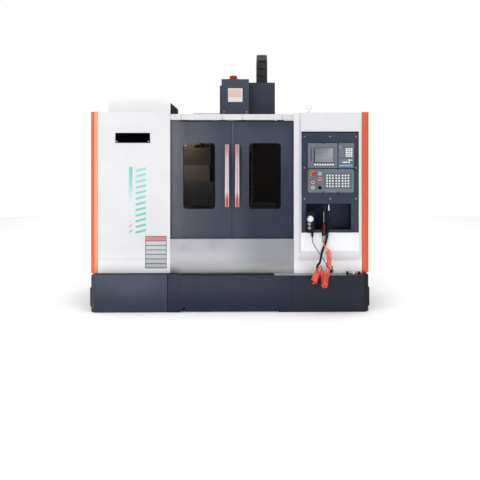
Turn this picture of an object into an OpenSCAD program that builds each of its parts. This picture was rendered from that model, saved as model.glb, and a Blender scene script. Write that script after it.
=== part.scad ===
// Vertical machining centre with an enclosed work area, a control box on its front and a tool magazine.
// Millimetres, X to the right, Y to the back, Z up. The origin is on the floor under the middle.

/* [Enclosure] */
// Width over the corner posts
enc_w = 2400; // [2300:10:2500]
// Distance of the front panels ahead of the origin
enc_front = 900; // [880:5:930]
// Distance of the rear wall behind the origin
enc_back = 300; // [296:1:304]
// Height of the upper edge of the panels
enc_top = 1690; // [1680:5:1720]
// Sheet thickness of panels and covers
sheet_t = 3; // [2:0.5:4]
// Depth of the folded edge of a panel
fold_d = 25; // [15:1:28]
// Front width of a corner post
post_w = 67; // [50:1:90]

/* [Base] */
// Height of the coolant tank and the skirts
base_h = 308; // [280:2:320]
// How far the tank stands out ahead of the panels
base_proud = 100; // [80:2:130]
// Width of the tank
base_inset = 25; // [15:1:40]
// Depth of the tank from front to back
tank_d = 280; // [240:5:290]
// Height of the toe recess under the tank front
toe_h = 45; // [30:1:60]
// Width of the toe recess at the floor
toe_w = 840; // [600:10:1000]

/* [Doors] */
// X of the line where the two doors meet
door_mid_x = 16; // [0:1:30]
// Width of the door opening between the panels
opening_w = 1064; // [1000:4:1080]
// Lower edge of the doors
door_z0 = 604; // [596:1:610]
// Upper edge of the doors
door_z1 = 1621; // [1600:1:1624]
// Setback of the doors behind the panel fronts
door_setback = 32; // [29:1:40]
// Depth of a door
door_d = 30; // [25:1:34]
// Width of a window
window_w = 276; // [240:2:300]
// Lower edge of the windows
window_z0 = 859; // [840:1:900]
// Height of a window
window_h = 568; // [500:2:600]
// Corner radius of a window
window_r = 30; // [15:1:50]
// Distance of a window's middle from the line where the doors meet
window_off = 284; // [270:1:300]
// Length of a pull handle
handle_h = 540; // [480:5:600]
// Width of a pull handle
handle_w = 34; // [28:1:38]
// How far a pull handle stands out from its door
handle_out = 46; // [36:1:60]
// Thickness of a handle's grip
handle_t = 10; // [8:1:14]
// Lower end of the handles
handle_z0 = 876; // [850:1:900]
// Distance of a handle's middle from the line where the doors meet
handle_off = 44; // [38:1:60]

/* [Machine casting] */
// X of the machine's middle plane, which holds the spindle
mach_x = 30; // [20:1:40]
// Width of the bed
bed_w = 700; // [680:5:720]
// Height of the bed's ways
bed_top = 600; // [590:1:605]
// Front end of the bed ahead of the origin
bed_front = 700; // [690:1:710]
// Rear end of the bed behind the origin
bed_back = 900; // [860:5:940]
// Width of the column
col_w = 440; // [430:1:444]
// Front face of the column behind the origin
col_y = 310; // [306:1:316]
// Depth of the column
col_d = 400; // [390:1:410]
// Top of the column
col_top = 1990; // [1980:1:2010]
// Height of the levelling feet
foot_h = 60; // [50:1:80]

/* [Axes] */
// Y of the spindle axis
spindle_y = -170; // [-176:1:-166]
// Height of the spindle nose with the head at the top
nose_z = 1440; // [1438:1:1460]
// Width of a guide rail
rail_w = 45; // [40:1:50]
// Height of a guide rail
rail_h = 38; // [34:1:40]
// Height of a bearing block above the rail's base
truck_h = 46; // [44:1:48]
// Half distance between the bed's rails
bed_rail_x = 230; // [200:1:250]
// Half distance between the saddle's rails
saddle_rail_y = 130; // [120:1:140]
// Half distance between the column's rails
col_rail_x = 150; // [140:1:160]
// Thickness of the saddle
saddle_h = 90; // [88:1:96]
// Width of the saddle
saddle_w = 1000; // [990:2:1010]
// Height of the table top
table_z = 850; // [845:1:860]
// Length of the table
table_w = 800; // [760:5:810]
// Depth of the table and of the saddle
table_d = 400; // [380:2:404]
// Width of a T-slot
slot_w = 18; // [14:1:22]
// Distance between T-slots
slot_pitch = 100; // [80:1:120]
// Diameter of the screws of Y and Z
screw_d = 40; // [32:1:45]
// Diameter of the screw of X
x_screw_d = 32; // [25:1:36]

/* [Head] */
// Width of the head casting
head_w = 200; // [190:1:204]
// Bore for the spindle bearings
spindle_bore = 150; // [140:1:156]
// Front face of the head cover
cover_front = -275; // [-290:1:-274]
// Left side of the head cover
cover_x0 = -86; // [-92:1:-80]
// Right side of the head cover
cover_x1 = 178; // [172:1:190]
// Top of the head cover
cover_top = 2056; // [2050:1:2070]
// Width of the box beside the head cover
side_box_w = 260; // [245:1:280]
// Top of the box beside the head cover
side_box_top = 2038; // [2000:1:2050]
// Width of the cable chain
chain_w = 103; // [80:1:110]
// Pitch of the chain's links
chain_pitch = 73; // [70:0.5:76]
// Bend radius of the chain
chain_r = 110; // [105:1:115]

/* [Tool magazine] */
// X of the magazine's axis
mag_x = -799; // [-810:1:-795]
// Y of the magazine's axis
mag_y = -400; // [-410:1:-390]
// Radius of the ring of tool pots
pot_r = 230; // [220:1:232]
// Number of tool pots
pots = 20; // [12:1:20]
// Outer diameter of a tool pot
pot_d = 58; // [50:1:60]
// Width of the magazine cover
mag_cover_w = 548; // [546:1:570]
// Top of the magazine cover
mag_cover_top = 1818; // [1800:1:1830]

/* [Control box] */
// Left side of the control box
ctl_x0 = 590; // [580:1:600]
// Width of the control box
ctl_w = 500; // [490:2:520]
// How far the control box stands out ahead of the panels
ctl_out = 160; // [150:1:170]
// Lower edge of the control box's front
ctl_z0 = 525; // [480:1:560]
// Top of the control box
ctl_z1 = 1676; // [1650:1:1688]
// Width of the control plate
plate_w = 479; // [474:1:484]
// Lower edge of the control plate
plate_z0 = 677; // [670:1:684]
// Upper edge of the control plate
plate_z1 = 1520; // [1500:1:1540]
// Diameter of a push button's stem
stem_d = 22; // [18:1:24]
// Diameter of a push button's cap
button_d = 28; // [26:1:34]
// Diameter of the emergency stop's head
estop_d = 40; // [36:1:50]

/* [Electrical cabinet] */
// Width of the electrical cabinet
cab_w = 900; // [860:5:940]
// Lower edge of the electrical cabinet
cab_z0 = 650; // [640:1:700]
// Top of the electrical cabinet
cab_z1 = 1800; // [1750:1:1840]

/* [Hidden] */
$fn = 48;
seat = 0.3;
run = 0.5;
fit = 0.08;
half_w = enc_w / 2;
front_y = -enc_front;
panel_back_y = front_y + fold_d;
tank_front = front_y - base_proud;
tank_back = tank_front + tank_d;
open_x0 = door_mid_x - opening_w / 2;
open_x1 = door_mid_x + opening_w / 2;
post_x = half_w - post_w;
door_y = front_y + door_setback;
door_lap = 24;
door_w = opening_w / 2 + door_lap;
saddle_z0 = bed_top + truck_h;
saddle_z1 = saddle_z0 + saddle_h;
table_z0 = saddle_z1 + truck_h;
truck_l = 90;
truck_w = rail_w + 35;
x_screw_z = saddle_z1;
y_screw_z = bed_top - 65;
z_screw_y = col_y + 50;
recess_w = 140;
recess_d = 100;
slide_y0 = 200;
slide_y1 = col_y - truck_h;
slide_z0 = nose_z - 80;
slide_z1 = nose_z + 300;
head_z0 = nose_z + 50;
head_top = nose_z + 320;
nose_h = 13;
arm_z0 = nose_z - 45;
arm_z1 = nose_z - 15;
pot_x = mag_x + pot_r;
arm_x = (mach_x + pot_x) / 2;
arm_y = (spindle_y + mag_y) / 2;
arm_r = norm([mach_x - pot_x, spindle_y - mag_y]) / 2;
arm_park = 100;
mag_cover_x = [mag_x - mag_cover_w / 2, mag_x + mag_cover_w / 2];
mag_cover_y = [-750, -55];
mag_cover_z0 = nose_z - 5;
beam_z = [nose_z + 140, nose_z + 260];
beam_x = [-340, -200];
hose_port_x = [740, 778, 862];
port_y = tank_front + 42;
port_z = base_h + 40;
ctl_x1 = ctl_x0 + ctl_w;
ctl_front = front_y - ctl_out;
plate_t = 3;
plate_y = ctl_front - plate_t;
plate_x0 = ctl_x0 + 4;
plate_x1 = plate_x0 + plate_w;
disp_x = [plate_x0 + 53, plate_x0 + 437];
disp_z = [1216, 1423];
disp_out = 12;
op_x = [plate_x0 + 53, plate_x0 + 437];
op_z = [1012, 1208];
op_out = 8;
op_y = plate_y - op_out;
pocket_x = [plate_x0 + 38, plate_x0 + 415];
pocket_z = [701, 919];
pocket_d = 120;
pocket_drop = 12;
estop_h = 49;
rear_y = -(op_y - estop_h);
cab_y = [col_y + col_d + 40, rear_y - 35];
pend_x = [plate_x0 + 38, plate_x0 + 104];
pend_z = [680, 853];
pend_t = 41;
pend_y = plate_y - 1.3 - pend_t;
gun_x = plate_x0 + 183;
gun_y = plate_y - 24;
hook_x = plate_x0 + 214;
chain_x = 275;
chain_front_y = 150;
chain_y = chain_front_y + chain_r;
chain_foot_z = side_box_top + 26;
chain_top_z = 2247;
chain_links = 15;

// Basic forms: an interval about a middle, a block between planes, rods and extrusions along an axis.
function about(middle, width) = [middle - width / 2, middle + width / 2];
function inset(pair, by) = [pair[0] + by, pair[1] - by];
module span(x, y, z) translate([x[0], y[0], z[0]]) cube([x[1] - x[0], y[1] - y[0], z[1] - z[0]]);
module along_x(x) translate([x[0], 0, 0]) rotate([90, 0, 90]) linear_extrude(x[1] - x[0]) children();
module along_y(y) translate([0, y[1], 0]) rotate([90, 0, 0]) linear_extrude(y[1] - y[0]) children();
module along_z(z) translate([0, 0, z[0]]) linear_extrude(z[1] - z[0]) children();
module rod_x(d, y, z, x) along_x(x) translate([y, z]) circle(d = d);
module rod_y(d, x, z, y) along_y(y) translate([x, z]) circle(d = d);
module rod_z(d, x, y, z) along_z(z) translate([x, y]) circle(d = d);
module flip(on) mirror([on ? 1 : 0, 0, 0]) children();

// A rectangle between two pairs of limits, with round corners.
module rounded(x, y, r) {
    translate([x[0] + r, y[0]]) square([x[1] - x[0] - 2 * r, y[1] - y[0]]);
    translate([x[0], y[0] + r]) square([x[1] - x[0], y[1] - y[0] - 2 * r]);
    for (cx = inset(x, r), cy = inset(y, r)) translate([cx, cy]) circle(r);
}

// A sheet panel that faces the front, folded back at its four edges.
module tray_y(x, y, z) difference() {
    span(x, y, z);
    span(inset(x, sheet_t), [y[0] + sheet_t, y[1] + 1], inset(z, sheet_t));
}

// A sheet box, open where the given amounts reach past its outer faces.
module shell(x, y, z, open_y = [0, 0], open_z = [0, 0]) difference() {
    span(x, y, z);
    span(
        inset(x, sheet_t),
        [y[0] + sheet_t - open_y[0], y[1] - sheet_t + open_y[1]],
        [z[0] + sheet_t - open_z[0], z[1] - sheet_t + open_z[1]]
    );
}

// A stack of level louvre slits through a wall.
module slits(x, y, z, n, h) for (i = [0 : n - 1])
    span(x, y, about(z[0] + (i + 0.5) * (z[1] - z[0]) / n, h));

// Cross-section of a guide rail with its base on the X axis, widened by a clearance.
module rail_section(gap) {
    w = rail_w / 2 + gap;
    waist = rail_w * 0.38 + gap;
    right = [
        [w, 0], [w, rail_h * 0.4], [waist, rail_h * 0.52], [waist, rail_h * 0.68],
        [w, rail_h * 0.8], [w, rail_h - 2 + gap], [w - 2, rail_h + gap]
    ];
    polygon(concat(right, [for (i = [len(right) - 1 : -1 : 0]) [-right[i][0], right[i][1]]]));
}

// Cross-section of a bearing block that wraps the rail.
module truck_section() difference() {
    translate([-truck_w / 2, 8]) square([truck_w, truck_h - 8]);
    rail_section(run);
}

// Bed: a ribbed iron casting with two rail lands, a trough for the Y screw and a seat for the column.
bed_y = [-bed_front, bed_back];
bed_flange = [foot_h, foot_h + 50];
land_h = 40;
trough_w = 150;
trough_z = y_screw_z - 75;
bearing_y = [240, 290];
lug_x = bed_w / 2 + 62;
lug_y = [bed_y[0] + 90, (bed_y[0] + bed_y[1]) / 2, bed_y[1] - 90];
bolt_d = 24;
anchor_d = 22;
anchor_y = inset(bed_y, 250);
module bed() color("slategray") difference() {
    union() {
        span(about(mach_x, bed_w + 40), bed_y, bed_flange);
        span(about(mach_x, bed_w), bed_y, [foot_h, bed_top - land_h]);
        for (s = [-1, 1])
            span(about(mach_x + s * bed_rail_x, 110), [bed_y[0] + 20, bearing_y[1]], [foot_h, bed_top]);
        span(about(mach_x, trough_w + 20), bearing_y, [foot_h, bed_top - 20]);
        span(about(mach_x, bed_w - 80), [col_y, col_y + col_d + 20], [foot_h, bed_top]);
        for (s = [-1, 1], y = lug_y) {
            rod_z(110, mach_x + s * lug_x, y, bed_flange);
            span(about(mach_x + s * (lug_x - 30), 60), about(y, 110), bed_flange);
        }
        for (s = [-1, 1], y = anchor_y)
            span(about(mach_x + s * (bed_w / 2 + 30), 100), about(y, 90), bed_flange);
    }
    for (s = [-1, 1], y = lug_y)
        rod_z(bolt_d + 2, mach_x + s * lug_x, y, [foot_h - 1, bed_flange[1] + 1]);
    for (s = [-1, 1], y = anchor_y)
        rod_z(anchor_d, mach_x + s * (bed_w / 2 + 40), y, [foot_h - 1, bed_flange[1] + 1]);
    span(about(mach_x, trough_w), [bed_y[0] + 80, bearing_y[0]], [trough_z, bed_top + 1]);
    span(about(mach_x, trough_w), [bearing_y[1], col_y + 190], [trough_z, bed_top + 1]);
    rod_y(screw_d + 2 * fit, mach_x, y_screw_z, [bed_y[0] - 1, bearing_y[1] + 1]);
    for (s = [-1, 1], i = [0 : 5]) {
        pocket_y = bed_y[0] + 60 + i * 250;
        span(about(mach_x + s * 130, 200), [pocket_y, pocket_y + 210], [foot_h - 1, trough_z - 60]);
        span(about(mach_x + s * 315, 90), [pocket_y, pocket_y + 210], [foot_h - 1, bed_top - land_h - 80]);
    }
    for (i = [0 : 5])
        rod_x(150, bed_y[0] + 165 + i * 250, (foot_h + bed_top) / 2 - 30, about(mach_x, bed_w + 60));
}

// Levelling feet: a pad, a threaded stud through the bed's lug and two nuts.
module levelling_feet() color("dimgray") for (s = [-1, 1], y = lug_y) translate([mach_x + s * lug_x, y, 0]) {
    cylinder(d = 120, h = 18);
    translate([0, 0, 18]) cylinder(d1 = 110, d2 = 60, h = 12);
    cylinder(d = bolt_d, h = bed_flange[1] + 60);
    translate([0, 0, foot_h - 22]) cylinder(d = 42, h = 22, $fn = 6);
    translate([0, 0, bed_flange[1]]) cylinder(d = 42, h = 22, $fn = 6);
}

// Column: a tapered casting with a narrow tower for the Z motor, a front recess for the Z screw
// and ribbed pockets behind.
col_shoulder = slide_z1 + 10;
tower_w = 250;
recess_z = [bed_top + 150, col_top - 60];
module column() color("lightsteelblue") difference() {
    foot_w = col_w / 2 + 50;
    along_y([col_y, col_y + col_d]) translate([mach_x, 0]) polygon([
        [-foot_w, bed_top], [foot_w, bed_top], [foot_w, bed_top + 60], [col_w / 2, bed_top + 300],
        [col_w / 2, col_shoulder], [tower_w / 2, col_shoulder], [tower_w / 2, col_top],
        [-tower_w / 2, col_top], [-tower_w / 2, col_shoulder], [-col_w / 2, col_shoulder],
        [-col_w / 2, bed_top + 300], [-foot_w, bed_top + 60]
    ]);
    span(about(mach_x, recess_w), [col_y - 1, col_y + recess_d], recess_z);
    rod_z(screw_d + 2 * fit, mach_x, z_screw_y, [recess_z[0] - 40, col_top + 1]);
    for (s = [-1, 1], i = [0 : 3]) {
        pocket_z = bed_top + 90 + i * 260;
        span(
            about(mach_x + s * 97, 160), [col_y + recess_d + 50, col_y + col_d + 1],
            [pocket_z, pocket_z + 220]
        );
    }
}

// Linear guide rails of Y on the bed and of Z on the column, with their bolt holes.
y_rail = [bed_y[0] + 90, bearing_y[1] - 10];
z_rail = [slide_z0 - 470, col_shoulder - 3];
module guide_rails() color("silver") {
    for (s = [-1, 1]) {
        difference() {
            translate([mach_x + s * bed_rail_x, 0, bed_top]) along_y(y_rail) rail_section(0);
            for (y = [y_rail[0] + 40 : 120 : y_rail[1] - 20])
                rod_z(14, mach_x + s * bed_rail_x, y, [bed_top + rail_h - 10, bed_top + rail_h + 1]);
        }
        difference() {
            translate([mach_x + s * col_rail_x, col_y, 0]) mirror([0, 1, 0]) along_z(z_rail) rail_section(0);
            for (z = [z_rail[0] + 40 : 120 : z_rail[1] - 20])
                rod_y(14, mach_x + s * col_rail_x, z, [col_y - rail_h - 1, col_y - rail_h + 10]);
        }
    }
}

// A servo motor along +Z: flange, body with chamfered corners and an encoder cap.
motor_w = 120;
cap_d = 80;
module servo(length, cap_h) {
    difference() {
        union() {
            translate([0, 0, 6]) cube([motor_w, motor_w, 12], center = true);
            translate([0, 0, 12]) linear_extrude(length - 12) intersection() {
                square(motor_w - 8, center = true);
                rotate(45) square(motor_w * 1.28, center = true);
            }
        }
        for (sx = [-1, 1], sy = [-1, 1])
            translate([sx * (motor_w / 2 - 9), sy * (motor_w / 2 - 9), -1]) cylinder(d = 9, h = 14);
    }
    translate([0, 0, length]) cylinder(d = cap_d, h = cap_h - 4);
    translate([0, 0, length + cap_h - 4]) cylinder(d1 = cap_d, d2 = cap_d - 8, h = 4);
}

// Motors of Y, in the bed's trough, and of Z, on a lantern over the column, with red encoder caps.
lantern_h = 50;
module axis_motors() color("firebrick") {
    translate([mach_x, bearing_y[1] + seat, y_screw_z]) rotate([-90, 0, 0]) servo(150, 34);
    difference() {
        span(about(mach_x, 140), about(z_screw_y, 100), [col_top, col_top + lantern_h]);
        rod_z(70, mach_x, z_screw_y, [col_top - 1, col_top + lantern_h + 1]);
    }
    translate([mach_x, z_screw_y, col_top + lantern_h]) servo(92, 38);
}

// Side skirts: folded sheets that stand on the floor between the tank and the rear posts.
skirt_x = enc_w / 2 - base_inset;
module side_skirts() color("whitesmoke") for (side = [false, true]) flip(side) difference() {
    span([-skirt_x, -skirt_x + fold_d], [tank_back + seat, enc_back], [0, base_h]);
    span(
        [-skirt_x + sheet_t, -skirt_x + fold_d + 1], [tank_back + seat + sheet_t, enc_back - sheet_t],
        [sheet_t, base_h - sheet_t]
    );
    span([-skirt_x - 1, -skirt_x + fold_d + 1], [tank_back + 200, tank_back + 700], [-1, toe_h]);
}

// Coolant tank: the drawer-like tank across the front, with a toe recess, panel seams and fittings.
seam_x = [door_mid_x - 542, door_mid_x + 513];
valve_x = [1000, 1050, 1100, 1145];
lip_x1 = door_mid_x - 448;
corner_cut = 36;
module tank_section(t) {
    x = skirt_x - t;
    cut = corner_cut + t * 0.42;
    polygon([
        [-x, tank_back - t], [-x, tank_front + cut], [-skirt_x + cut, tank_front + t],
        [skirt_x - cut, tank_front + t], [x, tank_front + cut], [x, tank_back - t]
    ]);
}
module coolant_tank() color("whitesmoke") difference() {
    union() {
        along_z([0, base_h]) tank_section(0);
        span([-skirt_x + corner_cut, lip_x1], [tank_front, tank_front + 20], [base_h - 1, base_h + 20]);
        for (x = valve_x) rod_z(22, x, tank_front + 55, [base_h - 1, base_h + 22]);
        for (x = [valve_x[1], valve_x[3]])
            rod_y(14, x, base_h + 14, [tank_front + 25, tank_front + 50]);
        for (x = hose_port_x) {
            rod_z(34, x, port_y, [base_h - 1, base_h + 14]);
            rod_z(26, x, port_y, [base_h + 13, port_z]);
        }
    }
    along_z([toe_h + 8, base_h - 8]) tank_section(9);
    along_z([8, toe_h + 9]) difference() {
        tank_section(9);
        translate([-toe_w / 2 - 40, tank_front]) square([toe_w + 80, tank_back - tank_front]);
    }
    span([-skirt_x + 60, skirt_x - 60], [front_y + 60, tank_back - 30], [base_h - 20, base_h + 1]);
    along_y([tank_front - 1, tank_front + 60]) translate([door_mid_x - 24, 0])
        polygon([[-toe_w / 2, -1], [toe_w / 2, -1], [toe_w / 2 - 34, toe_h], [-toe_w / 2 + 38, toe_h]]);
    for (x = seam_x) span(about(x, 3), [tank_front - 1, tank_front + 2], [-1, base_h + 1]);
    span([lip_x1 - 1, lip_x1 + 3], [tank_front - 1, tank_front + 2], [-1, base_h + 1]);
}

// Chip tray: the stainless apron under the doors, the sill they slide on and the pans beside the bed.
apron_x = inset([open_x0, open_x1], seat);
sill_y = [panel_back_y + seat, door_y + door_d + 6];
module chip_tray() color("gainsboro") {
    difference() {
        span(apron_x, [front_y, sill_y[0]], [base_h, door_z0 - seat]);
        span(
            inset(apron_x, sheet_t), [front_y + sheet_t, sill_y[0] + 1],
            [base_h + sheet_t, door_z0 - seat - sheet_t]
        );
        span(inset(apron_x, 90), [front_y - 1, front_y + sheet_t + 1], [base_h - 1, base_h + 6]);
    }
    span([-post_x, post_x], sill_y, [door_z0 - seat - sheet_t, door_z0 - seat]);
    span([-post_x, post_x], [sill_y[1] - sheet_t, sill_y[1]], [base_h + 40, door_z0 - seat]);
    for (side = [-1, 1]) {
        bed_side = mach_x + side * (bed_w / 2 + seat);
        wall = side * (half_w - fold_d - 2 - seat);
        along_y([sill_y[1], enc_back - 30 - seat]) polygon([
            [bed_side, 440], [bed_side, 440 + sheet_t], [bed_side + side * 40, 440 + sheet_t],
            [wall, 560 + sheet_t], [wall, 560], [bed_side + side * 40, 440]
        ]);
    }
}

// Front panels beside the doors, with a seam near their lower edge.
module front_panel(x) color("white") difference() {
    tray_y(x, [front_y, panel_back_y], [base_h, enc_top]);
    span([x[0] - 1, x[1] + 1], [front_y - 1, front_y + 1], about(base_h + 127, 3));
}
module front_panel_left() front_panel([-post_x + seat, open_x0]);
module front_panel_right() front_panel([open_x1, post_x - seat]);

// Corner posts: folded sheet with a chamfered outer corner.
module post_section(t) polygon([
    [-half_w + t, front_y + 70 - t], [-half_w + t, front_y + 36 + t * 0.42],
    [-half_w + 36 + t * 0.42, front_y + t], [-post_x - t, front_y + t],
    [-post_x - t, front_y + 24 - t], [-half_w + 62 - t, front_y + 24 - t],
    [-half_w + 24 - t, front_y + 58], [-half_w + 24 - t, front_y + 70 - t]
]);
module corner_trims() color("darkorange") for (side = [false, true]) flip(side) {
    along_z([base_h, enc_top + 6]) difference() {
        post_section(0);
        post_section(sheet_t);
    }
    along_z([base_h, enc_top + 6]) difference() {
        translate([-half_w, enc_back - 30]) square([30, 30]);
        translate([-half_w + sheet_t, enc_back - 30 + sheet_t]) square(30 - 2 * sheet_t);
    }
}

// Side panels of the enclosure, folded at all four edges.
module side_panels() color("white") for (side = [false, true]) flip(side) difference() {
    x = [-half_w + 2, -half_w + 2 + fold_d];
    y = [front_y + 70 + seat, enc_back - 30 - seat];
    span(x, y, [base_h, enc_top]);
    span([x[0] + sheet_t, x[1] + 1], inset(y, sheet_t), [base_h + sheet_t, enc_top - sheet_t]);
}

// Rear wall: two folded sheets that leave room for the bed, the column and the magazine's beam.
rear_open = col_w / 2 + 10;
module rear_wall() color("white") for (side = [-1, 1]) difference() {
    outer = half_w - 30 - seat;
    inner = mach_x + side * rear_open;
    x = side < 0 ? [-outer, inner] : [inner, outer];
    y = [enc_back - 15, enc_back];
    bed_gap = about(mach_x, bed_w + 60);
    difference() {
        span(x, y, [base_h, enc_top]);
        span(inset(x, sheet_t), [y[0] - 1, y[1] - sheet_t], [base_h + sheet_t, enc_top - sheet_t]);
    }
    span(bed_gap, [y[0] - 2, y[1] + 1], [base_h - 1, bed_top + 30]);
    if (side < 0) span([beam_x[0] - 12, inner + 1], [y[0] - 2, y[1] + 1], [beam_z[0] - 12, enc_top + 1]);
}

// Door header: the fascia over the doors and the channel whose shelf carries the door rollers.
shelf_z = [door_z1 + 19, door_z1 + 31];
header_z = [door_z1 + 6, door_z1 + 55];
shelf_y = [door_y + 18, door_y + door_d + 3];
module door_header() color("white") {
    along_x([-post_x + seat, post_x - seat]) polygon([
        [shelf_y[1] + sheet_t, header_z[0]], [shelf_y[1] + sheet_t, header_z[1]],
        [door_y - 4, header_z[1]], [door_y - 4, header_z[1] - sheet_t],
        [shelf_y[1], header_z[1] - sheet_t], [shelf_y[1], shelf_z[1]],
        [shelf_y[0], shelf_z[1]], [shelf_y[0], shelf_z[0]],
        [shelf_y[1], shelf_z[0]], [shelf_y[1], header_z[0]]
    ]);
    along_x([open_x0 + seat, open_x1 - seat]) polygon([
        [front_y + 10, header_z[0]], [front_y + 10, header_z[1]], [door_y - 4, header_z[1]],
        [door_y - 4, header_z[1] - sheet_t], [front_y + 10 + sheet_t, header_z[1] - sheet_t],
        [front_y + 10 + sheet_t, header_z[0]]
    ]);
    for (x = [-82, 88])
        span(about(door_mid_x + x, 16), [front_y + 2, front_y + 10], about(header_z[0] + 14, 22));
}

// Magazine cover: a sheet hood, open below, with a ribbed side towards the spindle and a gap for the beam.
rib_pitch = 26;
fascia_rise = 34;
module magazine_cover() color("white") difference() {
    z = [mag_cover_z0, mag_cover_top - fascia_rise];
    union() {
        span(mag_cover_x, [mag_cover_y[0], mag_cover_y[0] + sheet_t], [z[1] - 1, mag_cover_top]);
        span(mag_cover_x, [mag_cover_y[0], mag_cover_y[0] + fold_d], [mag_cover_top - sheet_t, mag_cover_top]);
        difference() {
            span(mag_cover_x, mag_cover_y, z);
            span(inset(mag_cover_x, sheet_t), inset(mag_cover_y, sheet_t), [z[0] - 1, z[1] - sheet_t]);
        }
        for (y = [mag_cover_y[0] + rib_pitch : rib_pitch : mag_cover_y[1] - rib_pitch])
            span([mag_cover_x[1] - 1, mag_cover_x[1] + 7], about(y, 8), [z[0] + 20, z[1] - 10]);
    }
    span([mag_cover_x[1] - sheet_t - 1, mag_cover_x[1] + 8], about(mag_y, 164), [z[0] - 1, beam_z[1] + 12]);
}

// Magazine base: a beam on the column's side with the tool arm's gearbox and the magazine's index drive.
index_top = mag_cover_top - fascia_rise - sheet_t;
axle_d = 60;
module magazine_base() color("slategray") difference() {
    union() {
        span(beam_x, [mag_y - 70, col_y + 240], beam_z);
        span([beam_x[1] - 1, mach_x - col_w / 2], [col_y + 10, col_y + 230], inset(beam_z, -20));
        span([mag_x - 60, beam_x[0] + 1], about(mag_y, 140), beam_z);
        rod_z(190, arm_x, arm_y, [arm_z1 + 20, beam_z[1] + 10]);
        rod_x(96, arm_y + 15, (beam_z[0] + beam_z[1]) / 2, [beam_x[0] - 140, beam_x[0] + 1]);
        rod_z(200, mag_x, mag_y, [beam_z[0] - 30, beam_z[1] + 10]);
        rod_z(120, mag_x, mag_y, [beam_z[1] + 9, index_top]);
        rod_z(axle_d, mag_x, mag_y, [nose_z + 42, beam_z[0]]);
    }
    rod_z(50 + 2 * fit, arm_x, arm_y, [arm_z1, arm_z1 + 100]);
    span([beam_x[0] + 20, beam_x[1] - 20], [arm_y + 110, col_y - 20], [beam_z[0] - 1, beam_z[1] - 20]);
}

// Magazine disc: a hub and plate on the axle with a ring of tool pots.
pot_z = [nose_z + 5, nose_z + 100];
disc_z = [nose_z + 50, nose_z + 64];
module magazine_disc() color("silver") translate([mag_x, mag_y, 0]) difference() {
    union() {
        along_z(disc_z) circle(pot_r - 6);
        along_z([disc_z[0] - 10, beam_z[0] - 32]) circle(d = 130);
        for (i = [0 : pots - 1]) rotate(i * 360 / pots) rod_z(pot_d, pot_r, 0, pot_z);
    }
    rod_z(axle_d + 2 * fit, 0, 0, [pot_z[0] - 1, beam_z[0]]);
    for (i = [0 : pots - 1]) rotate(i * 360 / pots) rod_z(40, pot_r, 0, [pot_z[0] - 1, pot_z[1] - 12]);
    for (i = [0 : 5]) rotate(i * 60) rod_z(60, 125, 0, [disc_z[0] - 1, disc_z[1] + 1]);
}

// Tool arm: a hub with its shaft and two arms that end in open jaws for the tool flange.
jaw_d = 64;
module tool_arm() color("dimgray") translate([arm_x, arm_y, 0]) rotate(arm_park) difference() {
    union() {
        rod_z(120, 0, 0, [arm_z0, arm_z1]);
        rod_z(50, 0, 0, [arm_z0, arm_z1 + 90]);
        for (s = [-1, 1]) {
            span(about(s * arm_r / 2, arm_r), [-36, 36], [arm_z0 + 5, arm_z1 - 5]);
            rod_z(jaw_d + 34, s * arm_r, 0, [arm_z0 + 5, arm_z1 - 5]);
        }
    }
    for (s = [-1, 1]) {
        rod_z(jaw_d, s * arm_r, 0, [arm_z0, arm_z1]);
        span(about(s * arm_r, jaw_d - 6), about(s * 40, 80), [arm_z0, arm_z1]);
    }
}

// Control box: a folded housing with a sloping underside, open behind the control plate, and a lifting eye.
eye = [ctl_x0 + 77, front_y - 80];
module control_box() color("white") {
    difference() {
        along_x([ctl_x0, ctl_x1]) polygon([
            [ctl_front, ctl_z0], [front_y, ctl_z0 - 107], [front_y, ctl_z1], [ctl_front, ctl_z1]
        ]);
        along_x([ctl_x0 + sheet_t, ctl_x1 - sheet_t]) polygon([
            [ctl_front + sheet_t, ctl_z0 + sheet_t], [front_y - sheet_t, ctl_z0 - 107 + 2 * sheet_t],
            [front_y - sheet_t, ctl_z1 - sheet_t], [ctl_front + sheet_t, ctl_z1 - sheet_t]
        ]);
        span([plate_x0 + 15, plate_x1 - 15], about(ctl_front, 10), [plate_z0 + 8, plate_z1 - 15]);
    }
    translate([eye[0], eye[1], ctl_z1]) {
        cylinder(d = 32, h = 14);
        cylinder(d = 14, h = 34);
        translate([0, 0, 52]) rotate([90, 0, 0]) rotate_extrude() translate([19, 0]) circle(d = 11);
    }
}

// Control plate: the dark front plate with its cut-outs, screw holes and the folded storage pocket.
screw_x = [plate_x0 + 24, plate_x0 + plate_w / 2, plate_x1 - 24];
screw_z = [plate_z0 + 283, plate_z0 + 541, plate_z1 - 43];
module control_plate() color("darkslategray") {
    difference() {
        union() {
            span([plate_x0, plate_x1], [plate_y, ctl_front], [plate_z0, plate_z1]);
            span(
                inset(pocket_x, -sheet_t), [plate_y + 1, plate_y + pocket_d],
                [pocket_z[0] - pocket_drop - sheet_t, pocket_z[1] + sheet_t]
            );
        }
        span(pocket_x, [plate_y - 1, plate_y + pocket_d - sheet_t], pocket_z);
        span(pocket_x, [ctl_front, plate_y + pocket_d - sheet_t], [pocket_z[0] - pocket_drop, pocket_z[1]]);
        span(inset(disp_x, 12), [plate_y - 1, ctl_front + 1], inset(disp_z, 12));
        span(inset(op_x, 8), [plate_y - 1, ctl_front + 1], inset(op_z, 8));
    }
    for (x = screw_x, z = screw_z) if (x != screw_x[1] || z != screw_z[1])
        rod_y(14, x, z, [plate_y - 5, plate_y]);
}

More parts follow.
